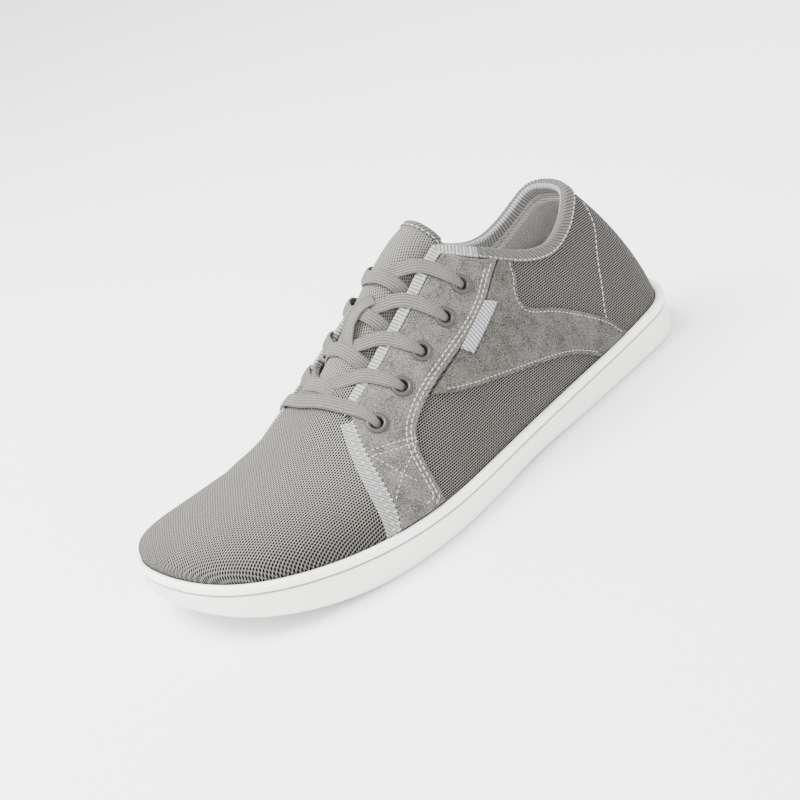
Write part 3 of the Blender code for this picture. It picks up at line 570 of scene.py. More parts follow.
# Flat-knit polyester: pale matt yarn in lengthwise rows, with a small dark gap between loops. The
# photo's rows are about 0.9 mm apart, and are drawn at about 1 mm so that they show
def knit(name, yarn, shade, gap, pitch, hole, depth, foot=1.0):
    """Staggered dark gaps in pale yarn. `pitch` is the length of a loop and the distance of rows,
    `hole` the share of a loop where a gap ends and where its soft edge does, and `foot` how much of
    its colour the yarn keeps near the sole: painted shade that darkens the yarn downwards from 44 mm height."""
    material, tree, shader = surface(name, yarn, {"Roughness": 0.92, "Sheen Weight": 0.03,
                                                  "Sheen Roughness": 0.5, "Specular IOR Level": 0.08})
    uv = add(tree, "ShaderNodeUVMap", {"uv_map": "weave"})
    size = add(tree, "ShaderNodeVectorMath", {"operation": "DIVIDE", 1: (pitch[0], pitch[1], 1.0)}, {0: uv})
    parts = add(tree, "ShaderNodeSeparateXYZ", {}, {0: size})
    row = add(tree, "ShaderNodeMath", {"operation": "FLOOR"}, {0: parts.outputs[1]})
    stagger = plus_share(tree, 0.5, row, parts.outputs[0])  # every other row is shifted by half a loop
    along = add(tree, "ShaderNodeMath", {"operation": "FRACT"}, {0: stagger})
    across = add(tree, "ShaderNodeMath", {"operation": "FRACT"}, {0: parts.outputs[1]})
    cell = add(tree, "ShaderNodeCombineXYZ", {}, {0: along, 1: across})
    centred = add(tree, "ShaderNodeVectorMath", {"operation": "SUBTRACT", 1: (0.5, 0.5, 0.0)}, {0: cell})
    shape = add(tree, "ShaderNodeVectorMath", {"operation": "MULTIPLY", 1: (1.0, 1.25, 0.0)}, {0: centred})
    reach = add(tree, "ShaderNodeVectorMath", {"operation": "LENGTH"}, {0: shape})
    dot = add(tree, "ShaderNodeMapRange", {"interpolation_type": "SMOOTHSTEP", "From Min": hole[0],
                                           "From Max": hole[1], "To Min": 1.0, "To Max": 0.0},
              {0: reach.outputs["Value"]})
    fibre = add(tree, "ShaderNodeTexNoise", {"Scale": 1.6, "Detail": 3.0}, {0: uv})
    mottle = add(tree, "ShaderNodeMix", {"data_type": "RGBA", 6: rgba(shade), 7: rgba(yarn)}, {0: fibre})
    # Painted shade: the yarn's colour falls to `foot` of itself below 20 mm height, full again at 44 mm, as
    # if lit from above
    place_of = add(tree, "ShaderNodeTexCoord")
    height = add(tree, "ShaderNodeSeparateXYZ", {}, {0: place_of.outputs["Object"]})
    light = add(tree, "ShaderNodeMapRange", {"interpolation_type": "SMOOTHSTEP", "From Min": 20 * MM,
                                             "From Max": 44 * MM, "To Min": foot}, {0: height.outputs["Z"]})
    height_shaded = add(tree, "ShaderNodeVectorMath", {"operation": "SCALE"}, {0: mottle.outputs[2], "Scale": light})
    colour = add(tree, "ShaderNodeMix", {"data_type": "RGBA", 7: rgba(gap)}, {0: dot, 6: height_shaded})
    tree.links.new(colour.outputs[2], shader.inputs["Base Color"])
    low = plus_share(tree, -1.0, dot, fibre)
    relief = add(tree, "ShaderNodeBump", {"Strength": 0.9, "Distance": depth * MM}, {"Height": low})
    tree.links.new(relief.outputs[0], shader.inputs["Normal"])
    return material


# The vamp keeps only 0.52 of its yarn colour near the sole: painted shade
vamp_knit = knit("flat_knit_polyester", "#a09d95", "#65625c", "#020202", (1.3, 0.98), (0.3, 0.54), 0.8,
                 0.52)
# The quarters' mesh is darker, as its gaps are wider
quarter_mesh = knit("open_mesh_polyester", "#86837c", "#4f4d48", "#010101", (1.25, 0.98), (0.35, 0.56), 0.7)
# The lining is soft and pale, with hardly a gap
ankle_lining = knit("brushed_lining_weave", "#c4c2bd", "#a4a29d", "#4c4a46", (1.0, 1.0), (0.15, 0.45), 0.15)

top = top_rise(around)
ups = np.concatenate(([0, 0, 0], np.linspace(0, 1, UP)))
rises = top[None] * ups[:, None]
phis = np.broadcast_to(around, rises.shape)
outer = lifted(phis, rises, 0.0)
# Below the rim the knit hangs straight down into the cup
x, y, _ = feather(around)
skirt = ground(share) + SOLE_BASE + GAP
for row in range(3):
    t = row / 3
    outer[row] = np.stack((x, y, skirt + (section(RIM, share) - skirt) * t), -1)
normals = last_normal(phis, rises)
# Over the toes the ridge ends in one point, where the sections run along it and give no normal
tip = np.abs(around) > 2.7
normals[-3:, tip] = normals[-4, tip]
normals[:3] = unit(normals[3] * (1, 1, 0))
run_up = run_along(outer)
below_edge = run_up[-1][None] - run_up
# The wall: thin at the rim, full over the ankle padding, thin again below it
ankle = smooth_step((outer[..., 2] - 44) / 12) * smooth_step((98 - outer[..., 0]) / 14)
padding = smooth_step((below_edge - 3.0) / 6.0)
wall = WALL + (PAD - WALL) * ankle * (0.15 + 0.85 * padding)
# A seam runs round the lining under the binding
wall -= 1.0 * ankle * np.exp(-((below_edge - 8.0) / 0.9) ** 2)
inner = outer - normals * wall[..., None]
wide = np.concatenate((outer, outer[:, :1]), 1)
# The mesh's rows run round the shoe, and the vamp's spread from a point on the instep
mesh_uv = np.stack(np.broadcast_arrays(run_along(wide[3]), run_along(wide)), -1)
away = wide[..., :2] - VAMP_CENTRE[:2]
flat = np.maximum(np.hypot(away[..., 0], away[..., 1]), 1e-3)
draped = np.hypot(flat, 1.1 * (wide[..., 2] - VAMP_CENTRE[2]) * smooth_step(flat / 10))
vamp_uv = away * (draped / flat)[..., None]
middle = (outer[:-1] + np.roll(outer, -1, 1)[1:]) / 2
zone = (middle[..., 0] < np.interp(middle[..., 2], TAPE_LINE[:, 0], TAPE_LINE[:, 1])).astype(int)
off_ridge = np.abs(middle[..., 1] - section(RIDGE_Y, middle[..., 0] / LENGTH))
zone[(off_ridge < VAMP_REACH[0]) & (middle[..., 0] > VAMP_REACH[1])] = 0
keep = np.ones(middle.shape[:2], bool)
for side in (1, -1):
    for phi, rise in zip(*eyelet_places(side)):
        keep &= np.linalg.norm(middle - lifted(phi, rise, 0.0), axis=-1) > EYELET_CUT
upper = shell("knit_upper", outer, inner, (vamp_knit, quarter_mesh, ankle_lining),
              (vamp_uv, mesh_uv, mesh_uv), zone, True, keep, 2)
place(upper, "grey_knit", "upper")

# Insole
# A thin flat footbed of foam under a brushed lining, dropped into the cup. Only its heel end shows.
INSOLE_STEPS = ((0.0, 0.0), (0.0, 1.6), (0.15, 2.3), (0.5, 2.75), (1.1, 3.0), (8.0, 3.1))  # inset, height
insole_inset = lip_at(share) + WALL + 0.7
insole_low = ground(share) + SOLE_BASE + GAP
rings = [np.stack((*inset_outline(around, insole_inset + more), insole_low + height), -1)
         for more, height in INSOLE_STEPS[1:]]
bed = ruled(rings[-1][LATERAL], rings[-1][MEDIAL], np.linspace(0, 1, 24))
top_face = np.concatenate([ring[LATERAL][:, None] for ring in rings[:-1]] + [bed]
                          + [ring[MEDIAL][:, None] for ring in rings[-2::-1]], 1)
under = top_face.copy()
under[..., 2] = insole_low[LATERAL][:, None]
insole = shell("insole_footbed", top_face, under, (ankle_lining,), top_face[..., :2])
place(insole, "grey_lining", "insole")

# Suede eyestays and bands
# Split suede, 1.35 mm thick, in two pieces a side: the eyestay that carries the eyelets and runs down
# to the sole, and the band that sweeps back to the heel. Both are stitched flat near their edges.
SUEDE = 1.35
SUEDE_GAP = 0.12
SUEDE_ROUND = 0.6               # radius of its cut edges
CHANNEL_DEPTH, CHANNEL_HALF = 0.28, 0.5
STAY_SEAMS = (2.2, 4.0)         # distance of the stitches from the edges
BAND_SEAM = 1.7
STAY_INSET = 0.045              # rise that the binding covers
OPEN_THROAT = (220.0, 230.0)    # the throat's two edges run on straight
# Lines of the side view, from the throat or collar down to the sole: x, height
STAY_REAR = ((91.3, 76.5), (94.3, 75.0), (99.1, 72.6), (107.9, 67.1), (129.9, 57.6), (153.8, 49.6),
             (161.8, 45.8), (167.7, 41.9), (170.9, 38.2), (173.4, 29.7), (174.1, 22.7), (173.9, 15.9))
TAPE_REAR = ((182.6, 51.8), (186.4, 46.9), (191.4, 36.8), (194.9, 23.6), (197.2, 16.7))
TAPE_FRONT = ((186.6, 52.2), (191.8, 46.5), (198.9, 35.0), (202.0, 23.2), (203.2, 17.0))
BAND_TOP = ((84.8, 72.6), (86.8, 70.2), (88.1, 67.0), (92.0, 61.6), (92.6, 56.6), (84.5, 50.5),
            (70.4, 42.1), (61.3, 35.4), (52.4, 27.8), (44.6, 17.2))
BAND_FRONT = ((91.0, 76.3), (94.0, 74.8), (98.8, 72.4), (107.6, 66.9), (129.7, 57.3), (153.4, 49.2))
BAND_BOTTOM = ((153.4, 49.2), (141.0, 44.4), (125.1, 40.0), (103.9, 34.1), (86.9, 28.9), (75.1, 23.6),
               (64.9, 16.6))
STITCH_ROWS = []                # every seam of bold stitches: points, normals
FINE_ROWS = []                  # and of fine ones


def resampled(line, count):
    """The same line of phi and rise at equal steps of its real length."""
    length = run_along(last_point(line[:, 0], line[:, 1]))
    at = np.linspace(0, length[-1], count)
    return np.stack([np.interp(at, length, line[:, k]) for k in range(2)], -1)


def between(first, second, middle):
    """A grid between two lines, with close columns along both edges."""
    width = np.linalg.norm(last_point(*first.T) - last_point(*second.T), axis=-1)
    near = np.array((0.0, 0.1, 0.3, 0.6, 1.0, 1.5, 2.0, 2.5, 3.1))
    rows = []
    for wide in width:
        close = near * min(1.0, wide / 8.0) / wide
        rows.append(np.concatenate((close, np.linspace(close[-1], 1 - close[-1], middle + 2)[1:-1],
                                    1 - close[::-1])))
    return ruled(first, second, np.array(rows))


def edge_distance(points):
    """Distance of each point of a grid from the grid's outer edge."""
    rim_line = np.concatenate((points[0], points[:, -1], points[-1], points[:, 0]))
    flat_points = points.reshape(-1, 3)
    out = np.full(len(flat_points), 1e9)
    for start in range(0, len(rim_line), 64):
        away = np.linalg.norm(flat_points[:, None] - rim_line[None, start:start + 64], axis=-1)
        out = np.minimum(out, away.min(1))
    return out.reshape(points.shape[:2])


def rounded(distance, radius):
    """Height of a rounded edge at this distance from it, 0 to 1."""
    return np.sqrt(1 - (1 - (distance / radius).clip(0, 1)) ** 2)


def at_distance(places, distance, wanted, from_last=False):
    """The line of a grid that keeps this distance from its first or last column."""
    line = []
    for row, gaps in zip(places, distance):
        if from_last:
            row, gaps = row[::-1], gaps[::-1]
        k = np.argmax(gaps >= wanted)
        if k:
            t = (wanted - gaps[k - 1]) / (gaps[k] - gaps[k - 1])
            line.append(row[k - 1] * (1 - t) + row[k] * t)
    return np.array(line)


def seam(line, lift, rows=STITCH_ROWS):
    """Notes a row of stitches along a line of phi and rise."""
    rows.append((skin(line, lift), last_normal(line[:, 0], line[:, 1])))


def suede_piece(name, first, second, middle, material, channels, holes=()):
    """A skin on the upper with rounded edges and a shallow channel under each row of stitches."""
    places = between(first, second, middle)
    base = skin(places, 0.0)
    distance = edge_distance(base)
    lift = SUEDE_GAP + SUEDE * rounded(distance, SUEDE_ROUND)
    for channel in channels:
        lift -= CHANNEL_DEPTH * np.exp(-((distance - channel) / CHANNEL_HALF) ** 2)
    centre = (base[:-1, :-1] + base[1:, 1:]) / 2
    keep = np.ones(centre.shape[:2], bool)
    for hole in holes:
        keep &= np.linalg.norm(centre - hole, axis=-1) > EYELET_CUT
    run = np.stack(np.broadcast_arrays(np.arange(len(base))[:, None] * 0.8, distance), -1)
    piece = shell(name, skin(places, lift), skin(places, SUEDE_GAP - 0.1), (material,), run, keep=keep)
    return piece, places, distance


# Suede: a short brushed nap, cloudy where the hand has turned it, with a fine dark pore between fibres
def suede(name, light, dark):
    material, tree, shader = surface(name, light, {"Roughness": 0.96, "Sheen Weight": 0.06,
                                                   "Sheen Roughness": 0.6, "Specular IOR Level": 0.08})
    spot = add(tree, "ShaderNodeTexCoord").outputs["Object"]
    nap = add(tree, "ShaderNodeTexNoise", {"Scale": 1 / (0.38 * MM), "Detail": 2.0, "Roughness": 0.6},
              {"Vector": spot})
    cloud = add(tree, "ShaderNodeTexNoise", {"Scale": 1 / (7 * MM), "Detail": 2.0}, {"Vector": spot})
    both = plus_share(tree, 0.22, cloud, nap)
    sharp = add(tree, "ShaderNodeMapRange", {"From Min": 0.50, "From Max": 0.76}, {0: both})
    colour_and_bump(tree, shader, dark, light, sharp, 0.8, 0.25, nap)
    return material


stay_suede = suede("pale_grey_suede", "#75736d", "#2d2c29")
band_suede = suede("grey_suede", "#66645e", "#1f1e1c")
STITCH_LIFT = SUEDE_GAP + SUEDE
for label, side in (("lateral", 1), ("medial", -1)):
    throat_phi = angle_of(np.linspace(99.0, 181.0, 60), side)
    throat_line = np.stack((throat_phi, top_rise(throat_phi, OPEN_THROAT) - STAY_INSET), -1)
    front_line = side_line(TAPE_REAR, side, 40)[2:]
    stay_front = resampled(np.concatenate((throat_line, front_line)), 220)
    stay_rear = resampled(side_line(STAY_REAR, side, 160), 220)
    holes = [lifted(phi, rise, 0.0) for phi, rise in zip(*eyelet_places(side))]
    stay, places, distance = suede_piece(f"suede_eyestay_{label}", stay_front, stay_rear, 22, stay_suede,
                                         STAY_SEAMS, holes)
    place(stay, "grey_suede", f"eyestay_{label}")
    for offset in STAY_SEAMS:
        seam(at_distance(places, distance, offset, True)[2:], STITCH_LIFT - 0.05)
    band_low = np.concatenate((side_line(BAND_FRONT, side, 80), side_line(BAND_BOTTOM, side, 100)[1:]))
    band_top = resampled(side_line(BAND_TOP, side, 160), len(band_low))
    band, places, distance = suede_piece(f"suede_band_{label}", band_top, band_low, 26, band_suede,
                                         (BAND_SEAM,))
    place(band, "grey_suede", f"band_{label}")
    # Along the band's top, and along its lower edge behind the eyestay
    seam(at_distance(places, distance, BAND_SEAM)[2:-2], STITCH_LIFT - 0.2, FINE_ROWS)
    seam(at_distance(places, distance, BAND_SEAM, True)[82:-2], STITCH_LIFT - 0.2, FINE_ROWS)

# Bar stitches under the first eyelet: two short rows and a cross that hold the eyestay to the vamp
for table in (((186.6, 42.9), (178.4, 42.0), (170.6, 40.1)), ((187.2, 41.4), (178.6, 40.0), (171.1, 38.9)),
              ((188.4, 41.3), (186.4, 37.3), (184.2, 33.0), (181.4, 28.9)),
              ((173.0, 37.6), (179.0, 34.9), (185.0, 32.3), (192.1, 27.9))):
    for side in (1, -1):
        seam(side_line(table, side, 30), STITCH_LIFT + 0.05, FINE_ROWS)

# Tape down the front edge of each quarter, and the side tag
# A silver-grey twill tape, folded over the cut edge of the quarter from the throat to the sole. Its
# front half lies smooth and its rear half is covered by a dense bright zigzag. The tag is a folded loop
# of plain woven tape, caught in the seam behind the eyestay; it is left bare.
TAPE = 0.8
TAPE_ROWS = 140
ZIGZAG = 44                     # corners of the zigzag
ZIG, ZAG = 0.50, 0.90           # where they lie across the tape
TAG_SEAM = ((109.2, 67.0), (131.0, 57.2))
TAG_FREE = ((105.2, 63.7), (128.0, 53.1))
TAG_ROWS, TAG_COLUMNS = 60, 26
TAG_HALF = 0.65                 # half the thickness of its two layers


def woven_strip(name, places, high, low, material):
    """A strip of tape between two distances from the knit, mapped by its own length and width."""
    base = skin(places, 0.0)
    return shell(name, skin(places, high), skin(places, low), (material,),
                 np.stack((run_along(base), run_along(base, 1)), -1))


def twill(name, light, dark, pitch, slant, depth):
    """Woven tape: fine slanted ribs over its own length and width, which are its map in millimetres."""
    material, tree, shader = surface(name, light, {"Roughness": 0.68, "Sheen Weight": 0.04,
                                                   "Sheen Roughness": 0.4, "Specular IOR Level": 0.1})
    uv = add(tree, "ShaderNodeUVMap", {"uv_map": "weave"})
    turned = add(tree, "ShaderNodeMapping", {"Rotation": (0, 0, math.radians(slant)),
                                             "Scale": (1 / pitch,) * 3}, {0: uv})
    wave = add(tree, "ShaderNodeTexWave", {"Scale": math.tau / 20, "Distortion": 0.6, "Detail": 1.0},
               {0: turned})
    fibre = add(tree, "ShaderNodeTexNoise", {"Scale": 2.2, "Detail": 3.0}, {0: uv})
    ribs = wave.outputs["Fac"]
    colour_and_bump(tree, shader, dark, light, plus_share(tree, 0.6, fibre, ribs), 0.6, depth, ribs)
    return material


# Silver-grey polyester tapes with a soft shine: the wider the rib and the deeper, the more it glitters
binding_twill = twill("silver_twill_binding", "#5f5e5b", "#161514", 1.3, 38, 0.35)
# A paler copy of the same tape with a square rib: the rib is the weave, the paler tone is painted light for
# faces turned up
lit_ladder_tape = twill("silver_ladder_tape_painted_light", "#9a9997", "#1e1d1c", 1.5, 0, 0.45)
front_twill = twill("silver_front_twill", "#8f8e8c", "#1c1b1a", 1.3, 30, 0.3)
tag_weave = twill("bare_woven_tag", "#929293", "#0c0c0c", 1.2, 40, 0.25)

for label, side in (("lateral", 1), ("medial", -1)):
    front, rear = side_line(TAPE_FRONT, side, TAPE_ROWS), side_line(TAPE_REAR, side, TAPE_ROWS)
    places = between(front, rear, 3)
    t = np.linspace(0, 1, places.shape[1])[None]
    thick = TAPE * rounded(edge_distance(skin(places, 0.0)), 0.5) * (1 + 0.25 * smooth_step(t * 3 - 1))
    tape = woven_strip(f"front_tape_{label}", places, 0.1 + thick, 0.0, front_twill)
    place(tape, "silver_twill_tape", f"front_tape_{label}")
    # The zigzag: short slanted stitches to and fro over the tape's rear half
    zig = np.where(np.arange(ZIGZAG) % 2, ZIG, ZAG)[:, None]
    picks = resampled(front, ZIGZAG) * (1 - zig) + resampled(rear, ZIGZAG) * zig
    for k in range(ZIGZAG - 1):
        seam(np.stack((picks[k], picks[k + 1])), 0.1 + TAPE * 1.25)

# The tag stands further off the suede towards its free edge, and a little in its middle
t = np.linspace(0, 1, TAG_COLUMNS)
places = ruled(side_line(TAG_SEAM, 1, TAG_ROWS), side_line(TAG_FREE, 1, TAG_ROWS), t)
swell = 1.5 + 1.3 * smooth_step(t)[None] + 0.25 * np.sin(np.pi * np.linspace(0, 1, TAG_ROWS))[:, None]
fold = TAG_HALF * rounded(edge_distance(skin(places, 0.0)), 0.55)
tag = woven_strip("woven_side_tag", places, swell + fold, swell - fold, tag_weave)
place(tag, "silver_twill_tape", "side_tag")

# Collar and throat binding
# The same twill tape, 10 mm wide, folded over the padded rim of the collar and on down both edges of
# the throat, with one row of stitches along its lower edge.
BINDING_DEPTH = 3.9             # of its outer face, on the throat
BINDING_ENDS = 182.5            # x of its two ends
STATIONS = 1300


def sweep(name, rings, materials, kinds=None):
    """A closed piece through rings of points (stations, points, 3), with flat ends. `kinds` holds the
    material of each cell."""
    stations, count = rings.shape[:2]
    i, j = np.meshgrid(np.arange(stations - 1), np.arange(count), indexing="ij")
    i, j = i.ravel(), j.ravel()
    k = (j + 1) % count
    faces = np.stack((i * count + j, i * count + k, (i + 1) * count + k, (i + 1) * count + j), 1)
    run = run_along(rings.mean(1))
    girth = np.linalg.norm(np.diff(np.concatenate((rings, rings[:, :1]), 1), axis=1), axis=-1).mean(0)
    girth = np.concatenate(([0], np.cumsum(girth)))
    spots = np.stack((np.stack((run[i], girth[j]), 1), np.stack((run[i], girth[j + 1]), 1),
                      np.stack((run[i + 1], girth[j + 1]), 1), np.stack((run[i + 1], girth[j]), 1)), 1)
    middle = rings[stations // 2]
    flow = rings[stations // 2 + 1].mean(0) - middle.mean(0)
    area = np.cross(middle - middle.mean(0), np.roll(middle, -1, 0) - middle.mean(0)).sum(0)
    if area @ flow < 0:
        faces, spots = faces[:, ::-1], spots[:, ::-1]
        ends = [list(range(count)), [(stations - 1) * count + v for v in range(count)][::-1]]
    else:
        ends = [list(range(count))[::-1], [(stations - 1) * count + v for v in range(count)]]
    mesh = bpy.data.meshes.new(name)
    mesh.from_pydata((rings.reshape(-1, 3) + SHIFT) * MM, [],
                     faces[:, ::-1].tolist() + [end[::-1] for end in ends])
    flat = np.concatenate((spots[:, ::-1].reshape(-1, 2), np.zeros((2 * count, 2))))
    mesh.uv_layers.new(name="weave").data.foreach_set("uv", flat.astype(np.float32).ravel())
    if kinds is not None:
        mesh.polygons.foreach_set("material_index", np.concatenate((kinds[i, j], (0, 0))).astype(np.int32))
    return finished(name, mesh, materials, 60)


def folded_tape(edge, normal, down, wall, depth, out=0.95, thick=0.7):
    """Rings of a tape folded round an edge with this wall behind it, with a rounded top."""
    wall = np.broadcast_to(wall, len(edge))[:, None]
    radius = (wall + out + 0.25) / 2
    centre = edge + normal * (out - radius)
    steps = (depth - 0.12, depth * 0.6, depth * 0.25)
    rings = [edge + normal * (out - thick) + down * depth]
    rings += [edge + normal * out + down * deep for deep in steps]
    for turn in np.linspace(0, np.pi, 15):
        rings.append(centre + normal * radius * math.cos(turn) - down * (radius * 0.62) * math.sin(turn))
    back = -wall - 0.25
    rings += [edge + normal * back + down * deep for deep in steps[::-1]]
    rings.append(edge + normal * (back + thick) + down * depth)
    hollow = (radius - thick).clip(0.05)
    for turn in np.linspace(np.pi, 0, 7):
        rings.append(centre + normal * hollow * math.cos(turn)
                     - down * (hollow * 0.55) * math.sin(turn) + down * 0.15)
    return np.stack(rings, 1)


def down_from(edge, normal, below):
    """The direction down a tape from the edge that it is folded over, towards the points `below`."""
    down = np.cross(np.gradient(edge, axis=0), normal)
    return unit(down * np.sign((down * (below - edge)).sum(-1))[:, None])


ends = angle_of(BINDING_ENDS, 1)
dense_phi = np.linspace(-ends, ends, 6001)
length = run_along(last_point(dense_phi, top_rise(dense_phi, OPEN_THROAT)))
phi = np.interp(np.linspace(0, length[-1], STATIONS), length, dense_phi)
rise = top_rise(phi, OPEN_THROAT)
edge = lifted(phi, rise, 0.0)
normal = last_normal(phi, rise)
down = down_from(edge, normal, lifted(phi, rise - 0.05, 0.0))
at_x = edge[:, 0]
collar_part = smooth_step((104 - at_x) / 12)
rim_wall = 1.6 * smooth_step((170 - at_x) / 14) + 2.0 * collar_part
depth = BINDING_DEPTH + 0.5 * collar_part
# On the inner side of the throat the laces have pulled the tape up into a soft roll
roll = smooth_step((-phi - 1.2) / 0.15) * (1 - collar_part)
stands = 0.95 + 0.5 * roll
rings = folded_tape(edge, normal, down, rim_wall, depth[:, None], stands[:, None])
# Small puckers where the tape is gathered round the corner of the collar and along its lower edge
steps = np.linalg.norm(np.gradient(edge, axis=0), axis=1)
run = np.concatenate(([0], np.cumsum(steps[1:])))
at_corner = np.exp(-((at_x - 98.0) / 7.0) ** 2)
pucker = 0
for height, length in ((0.10, 2.6), (0.07, 6.1), (0.12 * (1 - collar_part), 1.5), (0.45 * at_corner, 2.9)):
    pucker += height * np.sin(run / length * 2 * np.pi)
for k in range(1, 12):
    rings[:, k] += normal * (pucker * (0.35 + 0.65 * collar_part) * (1 - k / 14))[:, None]
# The paler ladder tape lies on the throat and on the rolled top and inner face of the collar: its rib is the
# tape's weave, its paler tone painted light where the tape turns up to the light, while the collar's outer
# face keeps the darker tape as painted shade
painted_light_faces = np.repeat((collar_part[1:] < 0.5).astype(int)[:, None], rings.shape[1], 1)
painted_light_faces[:, 12:] = 1
binding = sweep("collar_binding_tape", rings, (binding_twill, lit_ladder_tape), painted_light_faces)
place(binding, "silver_twill_tape", "collar_binding")
row = edge + normal * 0.98 + down * (depth - 0.75)[:, None]
STITCH_ROWS.append((row, normal))

# Tongue
# A padded tongue of the same knit that runs on from the vamp under the laces, domed by the foot it was
# made for, with twill tape over its top edge. The mark on it is left bare.
TONGUE = 3.2
TONGUE_TOP = (107.5, 97.8)
TONGUE_LEAN = 0.62
TONGUE_FRONT = 190.0
TONGUE_HALF = 22.0
TONGUE_CORNER = 12.0
TONGUE_SINK = 5.8
TONGUE_CROWN = np.array(((96.0, 5.0), (120.0, 6.3), (130.0, 6.4), (160.0, 5.2), (174.0, 5.0), (190.0, 3.4)))
TONGUE_ARCH = 16.5


def instep_height(x, y):
    """Height of the last over the throat, from the plan place."""
    x, y = np.broadcast_arrays(np.asarray(x, float), np.asarray(y, float))
    middle = section(RIDGE_Y, x / LENGTH)
    phi = angle_of(x, np.where(y >= middle, 1, -1))
    low, high = np.zeros(x.shape), np.ones(x.shape)
    for _ in range(30):
        rise = (low + high) / 2
        outside = np.abs(last_point(phi, rise)[..., 1] - middle) > np.abs(y - middle)
        low, high = np.where(outside, rise, low), np.where(outside, high, rise)
    return last_point(phi, low)[..., 2]


def over_instep(x, y, lift):
    """Points at this distance from the last over the throat, and its normal there."""
    x, y = np.broadcast_arrays(np.asarray(x, float), np.asarray(y, float))
    slope_x = (instep_height(x + 2, y) - instep_height(x - 2, y)) / 4
    slope_y = (instep_height(x, y + 2) - instep_height(x, y - 2)) / 4
    normal = np.stack((-slope_x, -slope_y, np.ones(x.shape)), -1)
    normal /= np.linalg.norm(normal, axis=-1, keepdims=True)
    return np.stack((x, y, instep_height(x, y)), -1) + normal * np.asarray(lift)[..., None], normal


def tongue_lift(x, off):
    """Lift of the tongue's face above the last, at this distance off the ridge."""
    crown = np.interp(x, TONGUE_CROWN[:, 0], TONGUE_CROWN[:, 1])
    return crown * np.clip(1 - (np.asarray(off) / TONGUE_ARCH) ** 2, 0, 1) - TONGUE_SINK


def tongue_edge(off):
    """x of the tongue's top edge at this distance off the ridge."""
    x = np.full(np.shape(off), TONGUE_TOP[0])
    for _ in range(12):
        height = instep_height(x, off + section(RIDGE_Y, x / LENGTH))
        x = TONGUE_TOP[0] - TONGUE_LEAN * (TONGUE_TOP[1] - height)
    past = ((np.abs(off) - TONGUE_HALF + TONGUE_CORNER) / TONGUE_CORNER).clip(0, 1)
    return x + TONGUE_CORNER * (1 - np.sqrt(1 - past ** 2))


off = np.linspace(-TONGUE_HALF, TONGUE_HALF, 61)
along = np.concatenate((np.linspace(0, 0.97, 120), (0.98, 0.99, 0.996, 1.0)))[:, None]
x = TONGUE_FRONT + (tongue_edge(off) - TONGUE_FRONT) * along
y = off + section(RIDGE_Y, x / LENGTH)
lift = tongue_lift(x, off)
swell = 0.5 * rounded(TONGUE_HALF - np.abs(off), 1.5) * TONGUE
face, _ = over_instep(x, y, lift - TONGUE / 2 + swell)
back_face, _ = over_instep(x, y, lift - TONGUE / 2 - swell)
tongue_knit = knit("brushed_tongue_knit", "#88867f", "#605e58", "#080807", (1.2, 1.05), (0.12, 0.48), 0.35)
tongue = shell("padded_tongue", face, back_face, (tongue_knit,),
               np.stack((run_along(face), run_along(face, 1)), -1))
place(tongue, "grey_knit", "tongue")

off = np.linspace(-13.8, 13.8, 120)
x = tongue_edge(off)
y = off + section(RIDGE_Y, x / LENGTH)
edge, normal = over_instep(x, y, tongue_lift(x, off))
down = down_from(edge, normal, over_instep(x + 3.6, y, tongue_lift(x + 3.6, off))[0])
rings = folded_tape(edge, normal, down, TONGUE, 2.6, 0.55)
tongue_tape = sweep("tongue_binding_tape", rings, (binding_twill,))
place(tongue_tape, "silver_twill_tape", "tongue_binding")
STITCH_ROWS.append((edge + normal * 0.58 + down * 2.0, normal))

# Laces
# Flat woven laces, 6 mm wide, with five fine ribs along them. A bar lies over the foot of the throat
# and four crossed rows above it; each lace dives under the far edge of the throat to the next eyelet.
LACE_WIDTH = 6.0
LACE_THICK = 1.4
LACE_RIBS = 5


def lace(route, widths):
    """Rings of a flat ribbed lace along a route of x, distance off the ridge and lift."""
    count = 110
    route = smooth_line(route, count)
    widths = np.interp(np.linspace(0, 1, count), np.linspace(0, 1, len(widths)), widths)[:, None]
    y = section(RIDGE_Y, route[:, 0] / LENGTH) + route[:, 1]
    middle, normal = over_instep(route[:, 0], y, route[:, 2])
    flow = np.gradient(middle, axis=0)
    across = np.cross(flow, normal)
    across /= np.linalg.norm(across, axis=-1, keepdims=True)
    up = np.cross(across, flow)
    up /= np.linalg.norm(up, axis=-1, keepdims=True)
    thick = LACE_THICK * (1 + 0.35 * (1 - widths / LACE_WIDTH))
    rings = []
    for turn in np.linspace(0, 2 * np.pi, 44, endpoint=False):
        side, high = math.cos(turn), math.sin(turn)
        rib = 0.17 * math.cos(2 * np.pi * LACE_RIBS * side / 2) * abs(high) ** 0.3
        rings.append(middle + across * widths * side / 2
                     + up * (thick / 2 * np.sign(high) * abs(high) ** 0.55 + rib * np.sign(high)))
    return np.stack(rings, 1)


lace_weave, tree, shader = surface("flat_woven_lace", "#6c6a65", {"Roughness": 0.8, "Sheen Weight": 0.05,
                                                                  "Specular IOR Level": 0.15})
uv = add(tree, "ShaderNodeUVMap", {"uv_map": "weave"})
